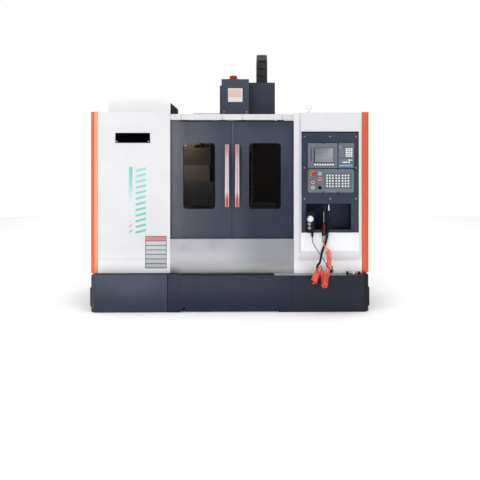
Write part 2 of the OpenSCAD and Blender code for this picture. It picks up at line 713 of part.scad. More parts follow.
// Display unit: a bezel with a recessed screen, soft keys, a card slot and a keypad, and a housing behind.
lcd_x = [disp_x[0] + 48, disp_x[0] + 218];
lcd_z = [disp_z[1] - 164, disp_z[1] - 36];
module key_grid(x, z, nx, nz, w, h, y, out) {
    dx = nx > 1 ? (x[1] - x[0] - w) / (nx - 1) : 0;
    dz = nz > 1 ? (z[1] - z[0] - h) / (nz - 1) : 0;
    for (i = [0 : nx - 1], j = [0 : nz - 1])
        span([x[0] + i * dx, x[0] + i * dx + w], [y - out, y + 0.5], [z[0] + j * dz, z[0] + j * dz + h]);
}
module display_unit() color("dimgray") {
    face = plate_y - disp_out;
    keys_x = [disp_x[0] + 262, disp_x[1] - 14];
    difference() {
        union() {
            along_y([face, plate_y]) rounded(disp_x, disp_z, 6);
            span(inset(disp_x, 14), [plate_y - 1, plate_y + 80], inset(disp_z, 14));
        }
        along_y([face - 1, face + 4]) rounded(lcd_x, lcd_z, 4);
        span(about(disp_x[0] + 26, 6), [face - 1, face + 10], [lcd_z[0] + 16, lcd_z[1] - 8]);
        span(about(disp_x[0] + 250, 3), [face - 1, face + 3], [disp_z[0] - 1, disp_z[1] + 1]);
    }
    key_grid([lcd_x[0] + 4, lcd_x[1] - 4], [disp_z[0] + 22, disp_z[0] + 34], 8, 1, 14, 12, face, 3);
    key_grid([keys_x[0], keys_x[0] + 44], [disp_z[0] + 93, disp_z[1] - 42], 3, 5, 12, 11, face, 3);
    key_grid([keys_x[1] - 56, keys_x[1]], [disp_z[0] + 93, disp_z[1] - 42], 3, 5, 16, 11, face, 3);
    key_grid([keys_x[0], keys_x[1] - 42], [disp_z[0] + 42, disp_z[0] + 72], 4, 2, 14, 12, face, 3);
    key_grid([keys_x[1] - 34, keys_x[1]], [disp_z[0] + 42, disp_z[0] + 72], 2, 2, 14, 12, face, 3);
    key_grid(keys_x, [disp_z[0] + 14, disp_z[0] + 28], 1, 1, keys_x[1] - keys_x[0], 14, face, 2);
}

// Operator panel: a plate with holes for the push buttons and a raised field of membrane keys.
estop_at = [op_x[0] + 40, op_z[1] - 38];
start_at = [op_x[0] + 98, op_z[1] - 38];
stop_at = [op_x[0] + 98, op_z[1] - 82];
hold_at = [op_x[0] + 40, op_z[1] - 110];
cycle_at = [op_x[0] + 40, op_z[1] - 154];
key_at = [op_x[0] + 98, op_z[1] - 156];
button_at = [estop_at, start_at, stop_at, hold_at, cycle_at, key_at];
ring_t = 3;
panel_r = 18;
module operator_panel() color("dimgray") {
    frame_x = [op_x[0] + 132, op_x[1] - 16];
    frame_z = [op_z[0] + 30, op_z[1] - 32];
    difference() {
        union() {
            along_y([op_y, plate_y]) rounded(op_x, op_z, panel_r);
            span(inset(op_x, 10), [plate_y - 1, plate_y + 40], inset(op_z, 10));
            along_y([op_y - 2, op_y + 1]) rounded(frame_x, frame_z, 4);
            for (at = button_at) rod_y(button_d + 6, at[0], at[1], [op_y - ring_t, op_y]);
            rod_y(estop_d + 14, estop_at[0], estop_at[1], [op_y - ring_t, op_y]);
        }
        for (at = button_at) rod_y(stem_d + 2 * fit, at[0], at[1], [op_y - ring_t - 1, plate_y + 30]);
    }
    for (group = [[5, 3], [82, 2], [135, 3]])
        key_grid(
            [frame_x[0] + 15 + group[0], frame_x[0] + 15 + group[0] + group[1] * 24 - 11],
            inset(frame_z, 16), group[1], 5, 13, 13, op_y - 2, 3
        );
}

// Push buttons: a round cap on a stem that runs in the panel's hole.
cap_h = 10;
travel = 3.5;
module push_button(at, cap, height) {
    y = op_y - ring_t - travel - seat;
    rod_y(stem_d, at[0], at[1], [y - 1, plate_y + 20]);
    rod_y(cap, at[0], at[1], [y - height + 2, y]);
    rod_y(cap - 4, at[0], at[1], [y - height, y - height + 3]);
}
module start_button() color("seagreen") push_button(start_at, button_d, cap_h);
module stop_button() color("firebrick") push_button(stop_at, button_d, cap_h);
module cycle_start_button() color("seagreen") push_button(cycle_at, button_d, cap_h);
module feed_hold_button() color("firebrick") push_button(hold_at, button_d, cap_h);

// Emergency stop: a mushroom head on a waist, with room to be pressed.
estop_travel = 6;
module estop_button() color("red") translate([estop_at[0], op_y, estop_at[1]]) rotate([90, 0, 0])
    rotate_extrude() polygon([
        [0, -25], [stem_d / 2, -25], [stem_d / 2, ring_t + 6], [stem_d / 2 + 3, ring_t + 7 + seat],
        [stem_d / 2 + 3, estop_h - 20], [estop_d / 2 - 2, estop_h - 17], [estop_d / 2, estop_h - 14],
        [estop_d / 2, estop_h - 7], [estop_d / 2 - 5, estop_h - 2], [estop_d / 4, estop_h], [0, estop_h]
    ]);

// Key switch: a round barrel with the key's bow in its slot.
module key_switch() color("black") {
    y = op_y - ring_t - seat;
    rod_y(stem_d, key_at[0], key_at[1], [y - 1, plate_y + 20]);
    rod_y(button_d, key_at[0], key_at[1], [y - 14, y]);
    along_y([y - 32, y - 13]) translate(key_at) rounded([-2, 2], [-9, 9], 1.5);
}

// Handwheel pendant: a small housing that hangs by a hook on the pocket's lower lip.
dial_at = [(pend_x[0] + pend_x[1]) / 2 - 4, pend_z[1] - 56];
axis_at = [dial_at[0] - 7, dial_at[1] - 43];
step_at = [dial_at[0] - 6, dial_at[1] - 75];
module pendant_body() color("black") difference() {
    union() {
        along_y([pend_y, pend_y + pend_t]) rounded(pend_x, pend_z, 9);
        along_y([pend_y - 2, pend_y + 1]) rounded(inset(pend_x, 5), inset(pend_z, 5), 6);
        span(
            about(dial_at[0], 24), [pend_y + pend_t - 1, ctl_front + 3 + seat],
            [pocket_z[0] + seat, pocket_z[0] + 4]
        );
        span(
            about(dial_at[0], 24), [ctl_front + seat, ctl_front + 3 + seat],
            [pocket_z[0] - pocket_drop + 2, pocket_z[0] + 4]
        );
        rod_z(18, relief[0], relief[1], [relief[2], pend_z[0] + 1]);
        rod_z(14, relief[0], relief[1], [relief[2] - 14, relief[2] + 1]);
    }
    for (at = [dial_at, axis_at, step_at]) rod_y(8 + 2 * fit, at[0], at[1], [pend_y - 3, pend_y + 20]);
}
relief = [pend_x[0] + 50, pend_y + 20, pend_z[0] - 26];
module pendant_dial() color("white") {
    rod_y(8, dial_at[0], dial_at[1], [pend_y - 3, pend_y + 15]);
    rod_y(58, dial_at[0], dial_at[1], [pend_y - 10, pend_y - 2 - seat]);
    rod_y(12, dial_at[0] - 18, dial_at[1] + 10, [pend_y - 14, pend_y - 9]);
}
module pendant_knob(at) {
    rod_y(8, at[0], at[1], [pend_y - 3, pend_y + 15]);
    rod_y(26, at[0], at[1], [pend_y - 8, pend_y - 2 - seat]);
    along_y([pend_y - 14, pend_y - 7]) translate(at) rounded([-4, 4], [-13, 13], 2);
}
module pendant_axis_knob() color("gray") pendant_knob(axis_at);
module pendant_step_knob() color("gray") pendant_knob(step_at);

// Air gun: nozzle up, hung on the pocket's lip by its hook, with its trigger in front.
gun_z = [plate_z0 - 22, pocket_z[0] + 68];
gun_hook_z = pocket_z[0] + 10;
module air_gun() color("firebrick") difference() {
    union() {
        rod_z(34, gun_x, gun_y, gun_z);
        rod_z(26, gun_x, gun_y, [gun_z[0] - 22, gun_z[0] + 1]);
        rod_z(20, gun_x, gun_y, [gun_end_z, gun_z[0] - 20]);
        rod_z(12, gun_x, gun_y, [gun_z[1] - 1, gun_z[1] + 84]);
        span(about(gun_x, 14), [gun_y, ctl_front + 3 + seat], [pocket_z[0] + seat, gun_hook_z]);
        span(about(gun_x, 14), [ctl_front + seat, ctl_front + 3 + seat], [pocket_z[0] - 8, gun_hook_z]);
        for (x = [-11, 6]) span([gun_x + x, gun_x + x + 5], [gun_y - 28, gun_y], about(gun_z[1] - 26, 14));
    }
    rod_x(5, gun_y - 22, gun_z[1] - 26, about(gun_x, 40));
}
gun_end_z = gun_z[0] - 58;

// Air gun's trigger: a lever on a pin between the gun's two ears.
module air_gun_trigger() color("silver") difference() {
    union() {
        span(about(gun_x, 10), [gun_y - 27, gun_y - 18.5], [gun_z[1] - 96, gun_z[1] - 22]);
        rod_x(10, gun_y - 22, gun_z[1] - 26, about(gun_x, 10));
        rod_x(4.4, gun_y - 22, gun_z[1] - 26, about(gun_x, 22));
    }
    span(about(gun_x, 12), [gun_y - 20, gun_y - 10], [gun_z[1] - 97, gun_z[1] - 40]);
}

// Coolant gun: a straight grip with a lever, hung from the pocket's ceiling by an angled strap.
cool_y = plate_y - 17;
cool_end_z = plate_z0 + 2;
module coolant_gun() color("black") {
    rod_z(24, hook_x, cool_y, [pocket_z[0] + 60, pocket_z[1] - 58]);
    rod_z(29, hook_x, cool_y, [pocket_z[0] + 36, pocket_z[0] + 62]);
    rod_z(22, hook_x, cool_y, [cool_end_z, pocket_z[0] + 38]);
    span(about(hook_x, 8), [plate_y + 2, plate_y + 8], [pocket_z[1] - 60, pocket_z[1] - seat]);
    span(about(hook_x, 8), [cool_y, plate_y + 8], [pocket_z[1] - 66, pocket_z[1] - 57]);
    span(about(hook_x, 10), [cool_y - 20, cool_y], [pocket_z[0] + 70, pocket_z[0] + 130]);
    span([hook_x, hook_x + 18], about(cool_y, 12), [pocket_z[1] - 66, pocket_z[1] - 57]);
    rod_z(16, hook_x + 12, cool_y, [pocket_z[1] - 58, pocket_z[1] - 30]);
    rod_z(10, hook_x + 12, cool_y, [pocket_z[1] - 31, pocket_z[1] - 8]);
    along_y(about(cool_y, 8)) translate([hook_x, pocket_z[0]]) difference() {
        polygon([[10, 101], [20, 105], [44, 21], [38, 3], [26, 5], [10, 43]]);
        polygon([[14, 89], [19, 85], [35, 23], [30, 15], [14, 49]]);
    }
}

// Electrical cabinet: a sheet housing on brackets behind the column, open at the back for its door.
cab_x = about(mach_x, cab_w);
module electrical_cabinet() color("white") {
    difference() {
        shell(cab_x, cab_y, [cab_z0, cab_z1], [0, sheet_t + 1]);
        for (s = [-1, 1])
            slits(
                about(mach_x + s * 300, 180), [cab_y[0] - 1, cab_y[0] + sheet_t + 1],
                [cab_z0 + 60, cab_z0 + 180], 6, 7
            );
    }
    for (s = [-1, 1])
        span(
            about(mach_x + s * (col_w / 2 - 20), 34), [col_y + col_d + seat, cab_y[0]],
            [cab_z0 + 120, cab_z1 - 60]
        );
    for (z = [cab_z0 + 120, cab_z1 - 180])
        rod_z(12, cab_x[0] - 8, cab_y[1] - 6, [z, z + 60]);
    for (z = [cab_z0 + 120, cab_z1 - 180])
        span([cab_x[0] - 8, cab_x[0] + 1], [cab_y[1] - 12, cab_y[1]], [z, z + 60]);
}

// Cabinet door: a shallow tray with a louvre field, two hinge knuckles and a turning handle.
door_knuckle = 12;
module cabinet_door() color("white") {
    y = [cab_y[1] + seat, cab_y[1] + 22];
    difference() {
        span(cab_x, y, [cab_z0, cab_z1]);
        span(inset(cab_x, sheet_t), [y[0] - 1, y[1] - sheet_t], [cab_z0 + sheet_t, cab_z1 - sheet_t]);
        slits(about(mach_x + 200, 220), [y[1] - sheet_t - 1, y[1] + 1], [cab_z1 - 300, cab_z1 - 120], 8, 8);
    }
    for (z = [cab_z0 + 180 + seat, cab_z1 - 120 + seat]) difference() {
        union() {
            rod_z(door_knuckle, cab_x[0] - 8, cab_y[1] - 6, [z, z + 60]);
            span([cab_x[0] - 13, cab_x[0] - 8], [cab_y[1] - 6, cab_y[1] + 4], [z, z + 60]);
            span([cab_x[0] - 13, cab_x[0] + 1], [cab_y[1] + 1, cab_y[1] + 5], [z, z + 60]);
        }
    }
    rod_y(40, cab_x[1] - 60, 1200, [y[1] - 1, y[1] + 5]);
    along_y([y[1] + 4, rear_y]) translate([cab_x[1] - 60, 1180]) rounded([-11, 11], [-50, 32], 8);
}

// Drive rack: a mounting plate with the drive modules, a transformer and two cable ducts.
module drive_rack() color("dimgray") {
    y0 = cab_y[0] + sheet_t + seat;
    span(inset(cab_x, 60), [y0, y0 + 8], [cab_z0 + 60, cab_z1 - 60]);
    for (i = [0 : 4]) difference() {
        x = cab_x[0] + 100 + i * 145;
        span([x, x + 110], [y0 + 7, y0 + 190], [cab_z1 - 520, cab_z1 - 140]);
        slits([x + 12, x + 98], [y0 + 186, y0 + 191], [cab_z1 - 490, cab_z1 - 380], 5, 8);
    }
    for (z = [cab_z1 - 600, cab_z0 + 330]) span([cab_x[0] + 90, cab_x[1] - 90], [y0 + 7, y0 + 60], [z, z + 50]);
    for (i = [0 : 7])
        span(about(cab_x[0] + 132 + i * 60, 45), [y0 + 7, y0 + 80], [cab_z0 + 410, cab_z0 + 500]);
    span([cab_x[1] - 320, cab_x[1] - 120], [y0 + 7, y0 + 170], [cab_z0 + 100, cab_z0 + 270]);
}

// Cable chain: links of two plate pairs, two bars and an outer lid, along an upright, an arch and an upright.
link_t = 7;
link_d = 44;
arch_l = PI * chain_r;
front_l = chain_top_z - chain_foot_z;
function chain_point(s) =
    s < front_l ? [chain_front_y, chain_foot_z + s]
    : s < front_l + arch_l ? [
        chain_y - chain_r * cos((s - front_l) / chain_r * 180 / PI),
        chain_top_z + chain_r * sin((s - front_l) / chain_r * 180 / PI)
    ]
    : [chain_y + chain_r, chain_top_z - (s - front_l - arch_l)];
module chain_link() {
    h = chain_pitch / 2;
    for (side = [false, true]) translate([chain_w / 2, 0, 0]) flip(side) {
        along_x([-chain_w / 2, -chain_w / 2 + link_t]) {
            translate([0, -link_d / 2]) square([h, link_d]);
            translate([h, 0]) circle(d = link_d);
        }
        along_x([-chain_w / 2 + link_t + run, -chain_w / 2 + 2 * link_t + run]) {
            translate([-h, -link_d / 2]) square([h, link_d]);
            translate([-h, 0]) circle(d = link_d);
        }
        span([-chain_w / 2, -chain_w / 2 + 2 * link_t + run], [-6, 6], about(0, link_d));
    }
    for (z = [-1, 1])
        span([link_t, chain_w - link_t], [-6, 6], about(z * (link_d / 2 - 3), 6));
    span([0, chain_w], [-6, 6], [link_d / 2 - 1, link_d / 2 + 1]);
    span([0, chain_w], [-31, 31], [link_d / 2 + seat, link_d / 2 + 3]);
}
module cable_chain() color("dimgray") {
    for (i = [0 : chain_links - 1]) {
        a = chain_point(i * chain_pitch);
        b = chain_point((i + 1) * chain_pitch);
        angle = atan2(b[1] - a[1], b[0] - a[0]);
        translate([chain_x, (a[0] + b[0]) / 2, (a[1] + b[1]) / 2]) rotate([angle, 0, 0]) chain_link();
    }
    last = chain_point(chain_links * chain_pitch);
    span(
        inset([chain_x, chain_x + chain_w], 2 * link_t + run + seat), about(chain_front_y, 34),
        [side_box_top + seat, chain_foot_z + 8]
    );
    span(inset([chain_x, chain_x + chain_w], link_t + seat), about(last[0], 34), [last[1] - 70, last[1] + 8]);
    span([mach_x + col_w / 2 + seat, chain_x + chain_w], about(last[0], 40), [last[1] - 74, last[1] - 24]);
}

// A cord swept along its points, with one ring at each point.
function unit(v) = v / norm(v);
function heading(p, i) = unit(p[min(i + 1, len(p) - 1)] - p[max(i - 1, 0)]);
module sweep(p, d, sides) {
    ring = [for (i = [0 : len(p) - 1])
        let (t = heading(p, i), u = unit(cross(t, [0.12, 1, 0.07])), v = cross(u, t))
        for (k = [0 : sides - 1]) p[i] + d / 2 * (cos(k * 360 / sides) * u + sin(k * 360 / sides) * v)];
    last = (len(p) - 1) * sides;
    polyhedron(
        ring,
        concat(
            [[for (k = [0 : sides - 1]) k]],
            [for (i = [0 : len(p) - 2], k = [0 : sides - 1]) [
                i * sides + k, (i + 1) * sides + k,
                (i + 1) * sides + (k + 1) % sides, i * sides + (k + 1) % sides
            ]],
            [[for (k = [sides - 1 : -1 : 0]) last + k]]
        )
    );
}

// Pendant cable: from the pendant's strain relief down to its port on the tank's ledge.
pendant_route = [
    [682, -1086, 640], [682, -1086, 622], [686, -1089, 600], [696, -1092, 578], [712, -1094, 552],
    [729, -1096, 526], [748, -1098, 498], [768, -1099, 466], [790, -1099, 430], [812, -1100, 396],
    [832, -1098, 372], [848, -1086, 360], [857, -1062, 357], [861, -1032, 362], [863, -1004, 374],
    [863, -978, 383], [862, -963, 376], [862, -958, 362], [862, -958, 348]
];
module pendant_cable() color("black") sweep(pendant_route, 6, 8);

// Coolant hose: from the coolant gun down to its port.
coolant_route = [
    [808, -1080, 679], [808, -1080, 664], [805, -1079, 645], [801, -1078, 624], [796, -1076, 602],
    [788, -1073, 580], [779, -1072, 558], [770, -1072, 536], [763, -1071, 512], [759, -1068, 488],
    [756, -1056, 460], [754, -1038, 434], [751, -1016, 414], [747, -994, 402], [743, -974, 392],
    [740, -960, 376], [740, -958, 362], [740, -958, 348]
];
module coolant_hose() color("black") sweep(coolant_route, 19, 8);

// Air hose: a coiled hose whose outer form hangs in a loop ahead of the tank, with straight ends.
hose_start = [[777, -1087, 597], [777, -1087, 587], [779, -1095, 575], [787, -1108, 561]];
hose_coil = [
    [787, -1108, 561], [799, -1111, 544], [811, -1110, 523], [821, -1104, 496], [827, -1094, 462],
    [829, -1080, 424], [827, -1068, 388], [821, -1062, 352], [813, -1062, 316], [805, -1065, 282],
    [798, -1066, 256], [793, -1056, 232], [789, -1042, 224], [786, -1029, 236], [784, -1025, 262],
    [782, -1025, 292], [778, -1027, 320], [768, -1030, 345], [752, -1034, 359], [735, -1038, 354],
    [722, -1042, 335], [713, -1045, 310], [706, -1048, 284], [700, -1050, 260]
];
hose_end = [
    [700, -1050, 260], [696, -1050, 242], [692, -1044, 226], [694, -1034, 216], [700, -1024, 224],
    [706, -1018, 246], [711, -1016, 280], [716, -1014, 315], [726, -1006, 345], [742, -992, 362],
    [758, -978, 376], [771, -965, 378], [778, -958, 364], [778, -958, 348]
];
hose_d = 9;
coil_d = 46;
module air_hose() color("orangered") {
    sweep(hose_start, hose_d, 8);
    sweep(hose_coil, coil_d, 10);
    sweep(hose_end, hose_d, 8);
}

// A pleated cover: a zigzag sheet over n pleats from the point a to the point b, with the given depth.
module pleats(a, b, n, depth) {
    step = (b - a) / (2 * n);
    side = unit([-(b - a)[1], (b - a)[0]]);
    line = [for (i = [0 : 2 * n]) a + i * step + (i % 2) * depth * side];
    polygon(concat(line, [for (i = [2 * n : -1 : 0]) line[i] + 4 * side]));
}

// Way cover over the Y rails, from an end plate on the bed to the saddle.
saddle_front = spindle_y - table_d / 2;
module way_cover_y() color("black") {
    x = about(mach_x, bed_w - 60);
    end_y = bed_y[0] + 30;
    span(x, [end_y, end_y + 8], [bed_top + seat, saddle_z0 + 46]);
    along_x(x) pleats([end_y + 7, saddle_z0 + 6], [saddle_front - 1, saddle_z0 + 6], 12, 32);
}

// Way cover over the Z rails below the head, from a bracket on the column to the slide.
module way_cover_z() color("black") {
    x = about(mach_x, 2 * col_rail_x + truck_w);
    z0 = bed_top + 110;
    span(x, [slide_y1 - 34, col_y - seat], [z0, z0 + 8]);
    along_x(x) pleats([slide_y1 - 8, z0 + 7], [slide_y1 - 8, slide_z0 - 1], 24, 26);
}

// Saddle: a casting on four bearing blocks that carries the X rails, the X motor and the Y screw's nut.
saddle_y = about(spindle_y, table_d);
saddle_x = about(mach_x, saddle_w);
module saddle() color("slategray") difference() {
    union() {
        for (s = [-1, 1], y = [saddle_y[0] + 10, saddle_y[1] - truck_l - 10])
            translate([mach_x + s * bed_rail_x, 0, bed_top]) along_y([y, y + truck_l]) truck_section();
        span(saddle_x, saddle_y, [saddle_z0, saddle_z1]);
        for (s = [-1, 1])
            translate([0, spindle_y + s * saddle_rail_y, saddle_z1]) along_x(inset(saddle_x, 15)) rail_section(0);
        span(about(mach_x, 90), about(spindle_y, 100), [y_screw_z - screw_d, saddle_z0 + 1]);
        for (x = [saddle_x[0], saddle_x[1] - 40])
            span([x, x + 40], about(spindle_y, 90), [saddle_z1 - 1, saddle_z1 + x_screw_d / 2 + 12]);
        span([saddle_x[1] - 1, saddle_x[1] + 150], about(spindle_y, 100), about(x_screw_z - 14, 100));
    }
    span([saddle_x[0] + 40, saddle_x[1] - 40], about(spindle_y, 130), [saddle_z1 - 42, saddle_z1 + 1]);
    rod_x(x_screw_d + 2 * fit, spindle_y, x_screw_z, [saddle_x[0] - 1, saddle_x[1] + 20]);
    rod_y(screw_d + 2 * fit, mach_x, y_screw_z, saddle_y);
    for (s = [-1, 1], i = [0 : 2])
        span(about(mach_x + s * (130 + i * 125), 105), about(spindle_y, 150), [saddle_z0 - 1, saddle_z0 + 35]);
}

// Table: a plate with T-slots over four bearing blocks and the X screw's nut.
table_x = about(mach_x, table_w);
module table() color("silver") difference() {
    union() {
        span(table_x, saddle_y, [table_z0, table_z]);
        for (x = [-1, 1], s = [-1, 1])
            translate([0, spindle_y + s * saddle_rail_y, saddle_z1])
                along_x(about(mach_x + x * 150, truck_l)) truck_section();
        span(about(mach_x, 80), about(spindle_y, 80), [x_screw_z - x_screw_d / 2 - 8, table_z0 + 1]);
    }
    for (i = [-1, 0, 1]) {
        slot_y = spindle_y + i * slot_pitch;
        span(inset(table_x, -1), about(slot_y, slot_w), [table_z - 21, table_z + 1]);
        span(inset(table_x, -1), about(slot_y, slot_w + 14), [table_z - 32, table_z - 20]);
    }
    rod_x(x_screw_d + 2 * fit, spindle_y, x_screw_z, about(mach_x, 100));
}

// Ball screws of the three axes.
module x_screw() color("lightgray") {
    rod_x(x_screw_d, spindle_y, x_screw_z, [saddle_x[0] + 4, saddle_x[1] + 18]);
}
module y_screw() color("lightgray") rod_y(screw_d, mach_x, y_screw_z, [bed_y[0] + 10, bearing_y[1]]);
module z_screw() color("lightgray") rod_z(screw_d, mach_x, z_screw_y, [recess_z[0] - 38, col_top + 30]);

// Head casting: the slide with its bearing blocks, the spindle housing and the Z screw's nut.
nut_z = [slide_z0 + 160, slide_z0 + 260];
module head_casting() color("slategray") difference() {
    union() {
        span(about(mach_x, 2 * col_rail_x + truck_w), [slide_y0, slide_y1], [slide_z0, slide_z1]);
        for (s = [-1, 1], z = [slide_z0 + 40, slide_z1 - 40 - truck_l])
            translate([mach_x + s * col_rail_x, col_y, 0]) mirror([0, 1, 0])
                along_z([z, z + truck_l]) truck_section();
        along_x(about(mach_x, head_w)) polygon([
            [spindle_y, head_z0], [100, head_z0], [slide_y0 + 1, head_z0 + 80],
            [slide_y0 + 1, head_top], [spindle_y, head_top]
        ]);
        rod_z(head_w, mach_x, spindle_y, [head_z0, head_top]);
        rod_z(spindle_bore + 40, mach_x, spindle_y, [nose_z + nose_h + seat, head_z0 + 1]);
        span(about(mach_x, recess_w - 30), [slide_y1 - 1, z_screw_y + 44], nut_z);
        span([mach_x, cover_x1], [20, 150], [nose_z + 210, nose_z + 275]);
        span(
            inset([cover_x0, cover_x1], sheet_t + seat),
            [cover_front + sheet_t + seat, cover_front + 30], cover_bar_z
        );
    }
    rod_z(spindle_bore, mach_x, spindle_y, [nose_z - 1, head_top + 1]);
    rod_z(screw_d + 2 * fit, mach_x, z_screw_y, [nut_z[0] - 1, nut_z[1] + 1]);
}
cover_bar_z = [nose_z + 288, nose_z + 314];
cover_mid = (cover_x0 + cover_x1) / 2;
cover_screw_x = inset([cover_x0, cover_x1], 23);

// Spindle: the turned shaft with its bearings, a tapered socket and two drive keys.
bearing_d = spindle_bore - 2 * fit;
taper_d = 44.45;
taper_l = 65;
module spindle() color("silver") translate([mach_x, spindle_y, nose_z]) {
    rotate_extrude() polygon([
        [taper_d / 2, 0], [spindle_bore / 2 - 2, 0], [spindle_bore / 2 - 2, nose_h], [50, nose_h], [50, 24],
        [bearing_d / 2, 24], [bearing_d / 2, 124], [50, 124], [50, 230], [bearing_d / 2, 230],
        [bearing_d / 2, 290], [45, 290], [45, head_top - nose_z - 1], [8.5, head_top - nose_z - 1],
        [8.5, taper_l], [taper_d / 2 - taper_l * 7 / 48, taper_l]
    ]);
    for (s = [-1, 1]) span(about(s * 36, 20), [-8, 8], [-8, 1]);
}

// Spindle motor: a finned square body on the head with a flange and a fan housing.
spin_w = 176;
module spindle_motor() color("dimgray") translate([mach_x, spindle_y, head_top + seat]) difference() {
    union() {
        span(about(0, spin_w + 10), about(0, spin_w + 10), [0, 16]);
        along_z([15, 210]) intersection() {
            square(spin_w, center = true);
            rotate(45) square(spin_w * 1.25, center = true);
        }
        along_z([209, 268]) circle(d = spin_w - 16);
    }
    for (s = [-1, 1], i = [-4 : 4]) {
        span(about(s * spin_w / 2, 12), about(i * 12, 5), [30, 196]);
        span(about(i * 12, 5), about(s * spin_w / 2, 12), [30, 196]);
    }
    rod_z(spin_w - 40, 0, 0, [262, 270]);
}

// Head cover: a two-step sheet hood over the spindle motor, with screws and a bare plate on its front.
step_y = -20;
module head_cover() color("whitesmoke") difference() {
    z0 = head_top - 35;
    union() {
        span([cover_x0, cover_x1], [cover_front, step_y], [z0, cover_top]);
        span([cover_x0 - 21, cover_x1], [step_y - 1, slide_y0 - seat], [z0, cover_top - 32]);
        for (x = cover_screw_x)
            rod_y(13, x, (cover_bar_z[0] + cover_bar_z[1]) / 2, [cover_front - 4, cover_front + 1]);
        span(about(cover_mid + 1, 138), [cover_front - 2, cover_front + 1], [nose_z + 396, nose_z + 527]);
    }
    span(
        inset([cover_x0, cover_x1], sheet_t), [cover_front + sheet_t, step_y + sheet_t],
        [z0 - 1, cover_top - sheet_t]
    );
    span(
        [cover_x0 - 21 + sheet_t, cover_x1 - sheet_t], [step_y + sheet_t - 1, slide_y0 + 1],
        [z0 - 1, cover_top - 32 - sheet_t]
    );
}

// Box beside the head cover, with louvres and a lid seam.
module head_side_box() color("whitesmoke") difference() {
    x = [cover_x1 + seat, cover_x1 + seat + side_box_w];
    y = [-150, chain_front_y + 30];
    z = [nose_z + 200, side_box_top];
    along_z(z) rounded(x, y, 6);
    span(inset(x, sheet_t), inset(y, sheet_t), [z[0] - 1, z[1] - 2 * sheet_t]);
    slits([x[1] - sheet_t - 1, x[1] + 1], inset(y, 60), [z[0] + 80, z[0] + 200], 6, 8);
    for (yy = [y[0] - 1, y[1] - 1]) span([x[0] - 1, x[1] + 1], [yy, yy + 2], about(z[1] - 40, 2));
}

// Doors: a folded sheet with a window hole, two hangers with rollers on the header's shelf.
roller_d = 20;
hanger_x = [90, 420];
window_z = [window_z0, window_z0 + window_h];
module door(side) {
    x = side < 0 ? [door_mid_x - 1 - door_w, door_mid_x - 1] : [door_mid_x + 1, door_mid_x + 1 + door_w];
    mid = door_mid_x + side * window_off;
    difference() {
        tray_y(x, [door_y, door_y + door_d], [door_z0, door_z1]);
        along_y([door_y - 1, door_y + sheet_t + 1]) rounded(about(mid, window_w), window_z, window_r);
    }
    for (h = hanger_x) {
        hx = door_mid_x + side * h;
        span(about(hx, 60), [door_y + 11, door_y + 15], [door_z1 - sheet_t, shelf_z[1] + 16]);
        for (r = [-16, 16]) {
            rod_y(roller_d, hx + r, shelf_z[1] + seat + roller_d / 2, [door_y + 18.5, door_y + 28]);
            rod_y(8, hx + r, shelf_z[1] + seat + roller_d / 2, [door_y + 14, door_y + 19]);
        }
    }
}
module door_left() color("slategray") door(-1);
module door_right() color("slategray") door(1);

// Windows: a pane behind the door sheet with a rubber rim that fills the hole.
module window(side) {
    mid = door_mid_x + side * window_off;
    back = door_y + sheet_t + seat;
    along_y([back, back + 8]) rounded(about(mid, window_w + 40), inset(window_z, -20), window_r + 10);
    along_y([door_y + 1, back + 1])
        rounded(about(mid, window_w - 2 * seat), inset(window_z, seat), window_r);
}
module window_left() color([0.1, 0.1, 0.1]) window(-1);
module window_right() color([0.1, 0.1, 0.1]) window(1);

// Pull handles: a grip that runs out to a point midway, on two feet, with a finger gap behind.
module pull_handle(side) {
    mid = door_mid_x + side * handle_off;
    z = [handle_z0, handle_z0 + handle_h];
    base = door_y - seat;
    along_x(about(mid, handle_w)) polygon([
        [base, z[0]], [base, z[0] + 38], [base - handle_out * 0.55, z[0] + 70],
        [base - handle_out + handle_t, z[0] + handle_h * 0.3], [base - handle_out + handle_t, z[1] - handle_h * 0.3],
        [base - handle_out * 0.55, z[1] - 70], [base, z[1] - 38], [base, z[1]], [base - 10, z[1]],
        [base - handle_out, z[1] - handle_h * 0.28], [base - handle_out, z[0] + handle_h * 0.28], [base - 10, z[0]]
    ]);
}
module handle_left() color("firebrick") pull_handle(-1);
module handle_right() color("firebrick") pull_handle(1);

bed();
column();
levelling_feet();
guide_rails();
axis_motors();
side_skirts();
coolant_tank();
chip_tray();
front_panel_left();
front_panel_right();
corner_trims();
side_panels();
rear_wall();
door_header();
magazine_cover();
magazine_base();
control_box();
control_plate();
display_unit();
operator_panel();
electrical_cabinet();
drive_rack();
pendant_body();
air_gun();
coolant_gun();
cable_chain();
pendant_cable();
air_hose();
coolant_hose();
way_cover_y();
way_cover_z();
saddle();
table();
x_screw();
y_screw();
z_screw();
head_casting();
spindle();
spindle_motor();
head_cover();
head_side_box();
door_left();
window_left();
handle_left();
door_right();
window_right();
handle_right();
magazine_disc();
tool_arm();
estop_button();
start_button();
stop_button();
cycle_start_button();
feed_hold_button();
key_switch();
pendant_dial();
pendant_axis_knob();
pendant_step_knob();
air_gun_trigger();
cabinet_door();
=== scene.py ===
import math

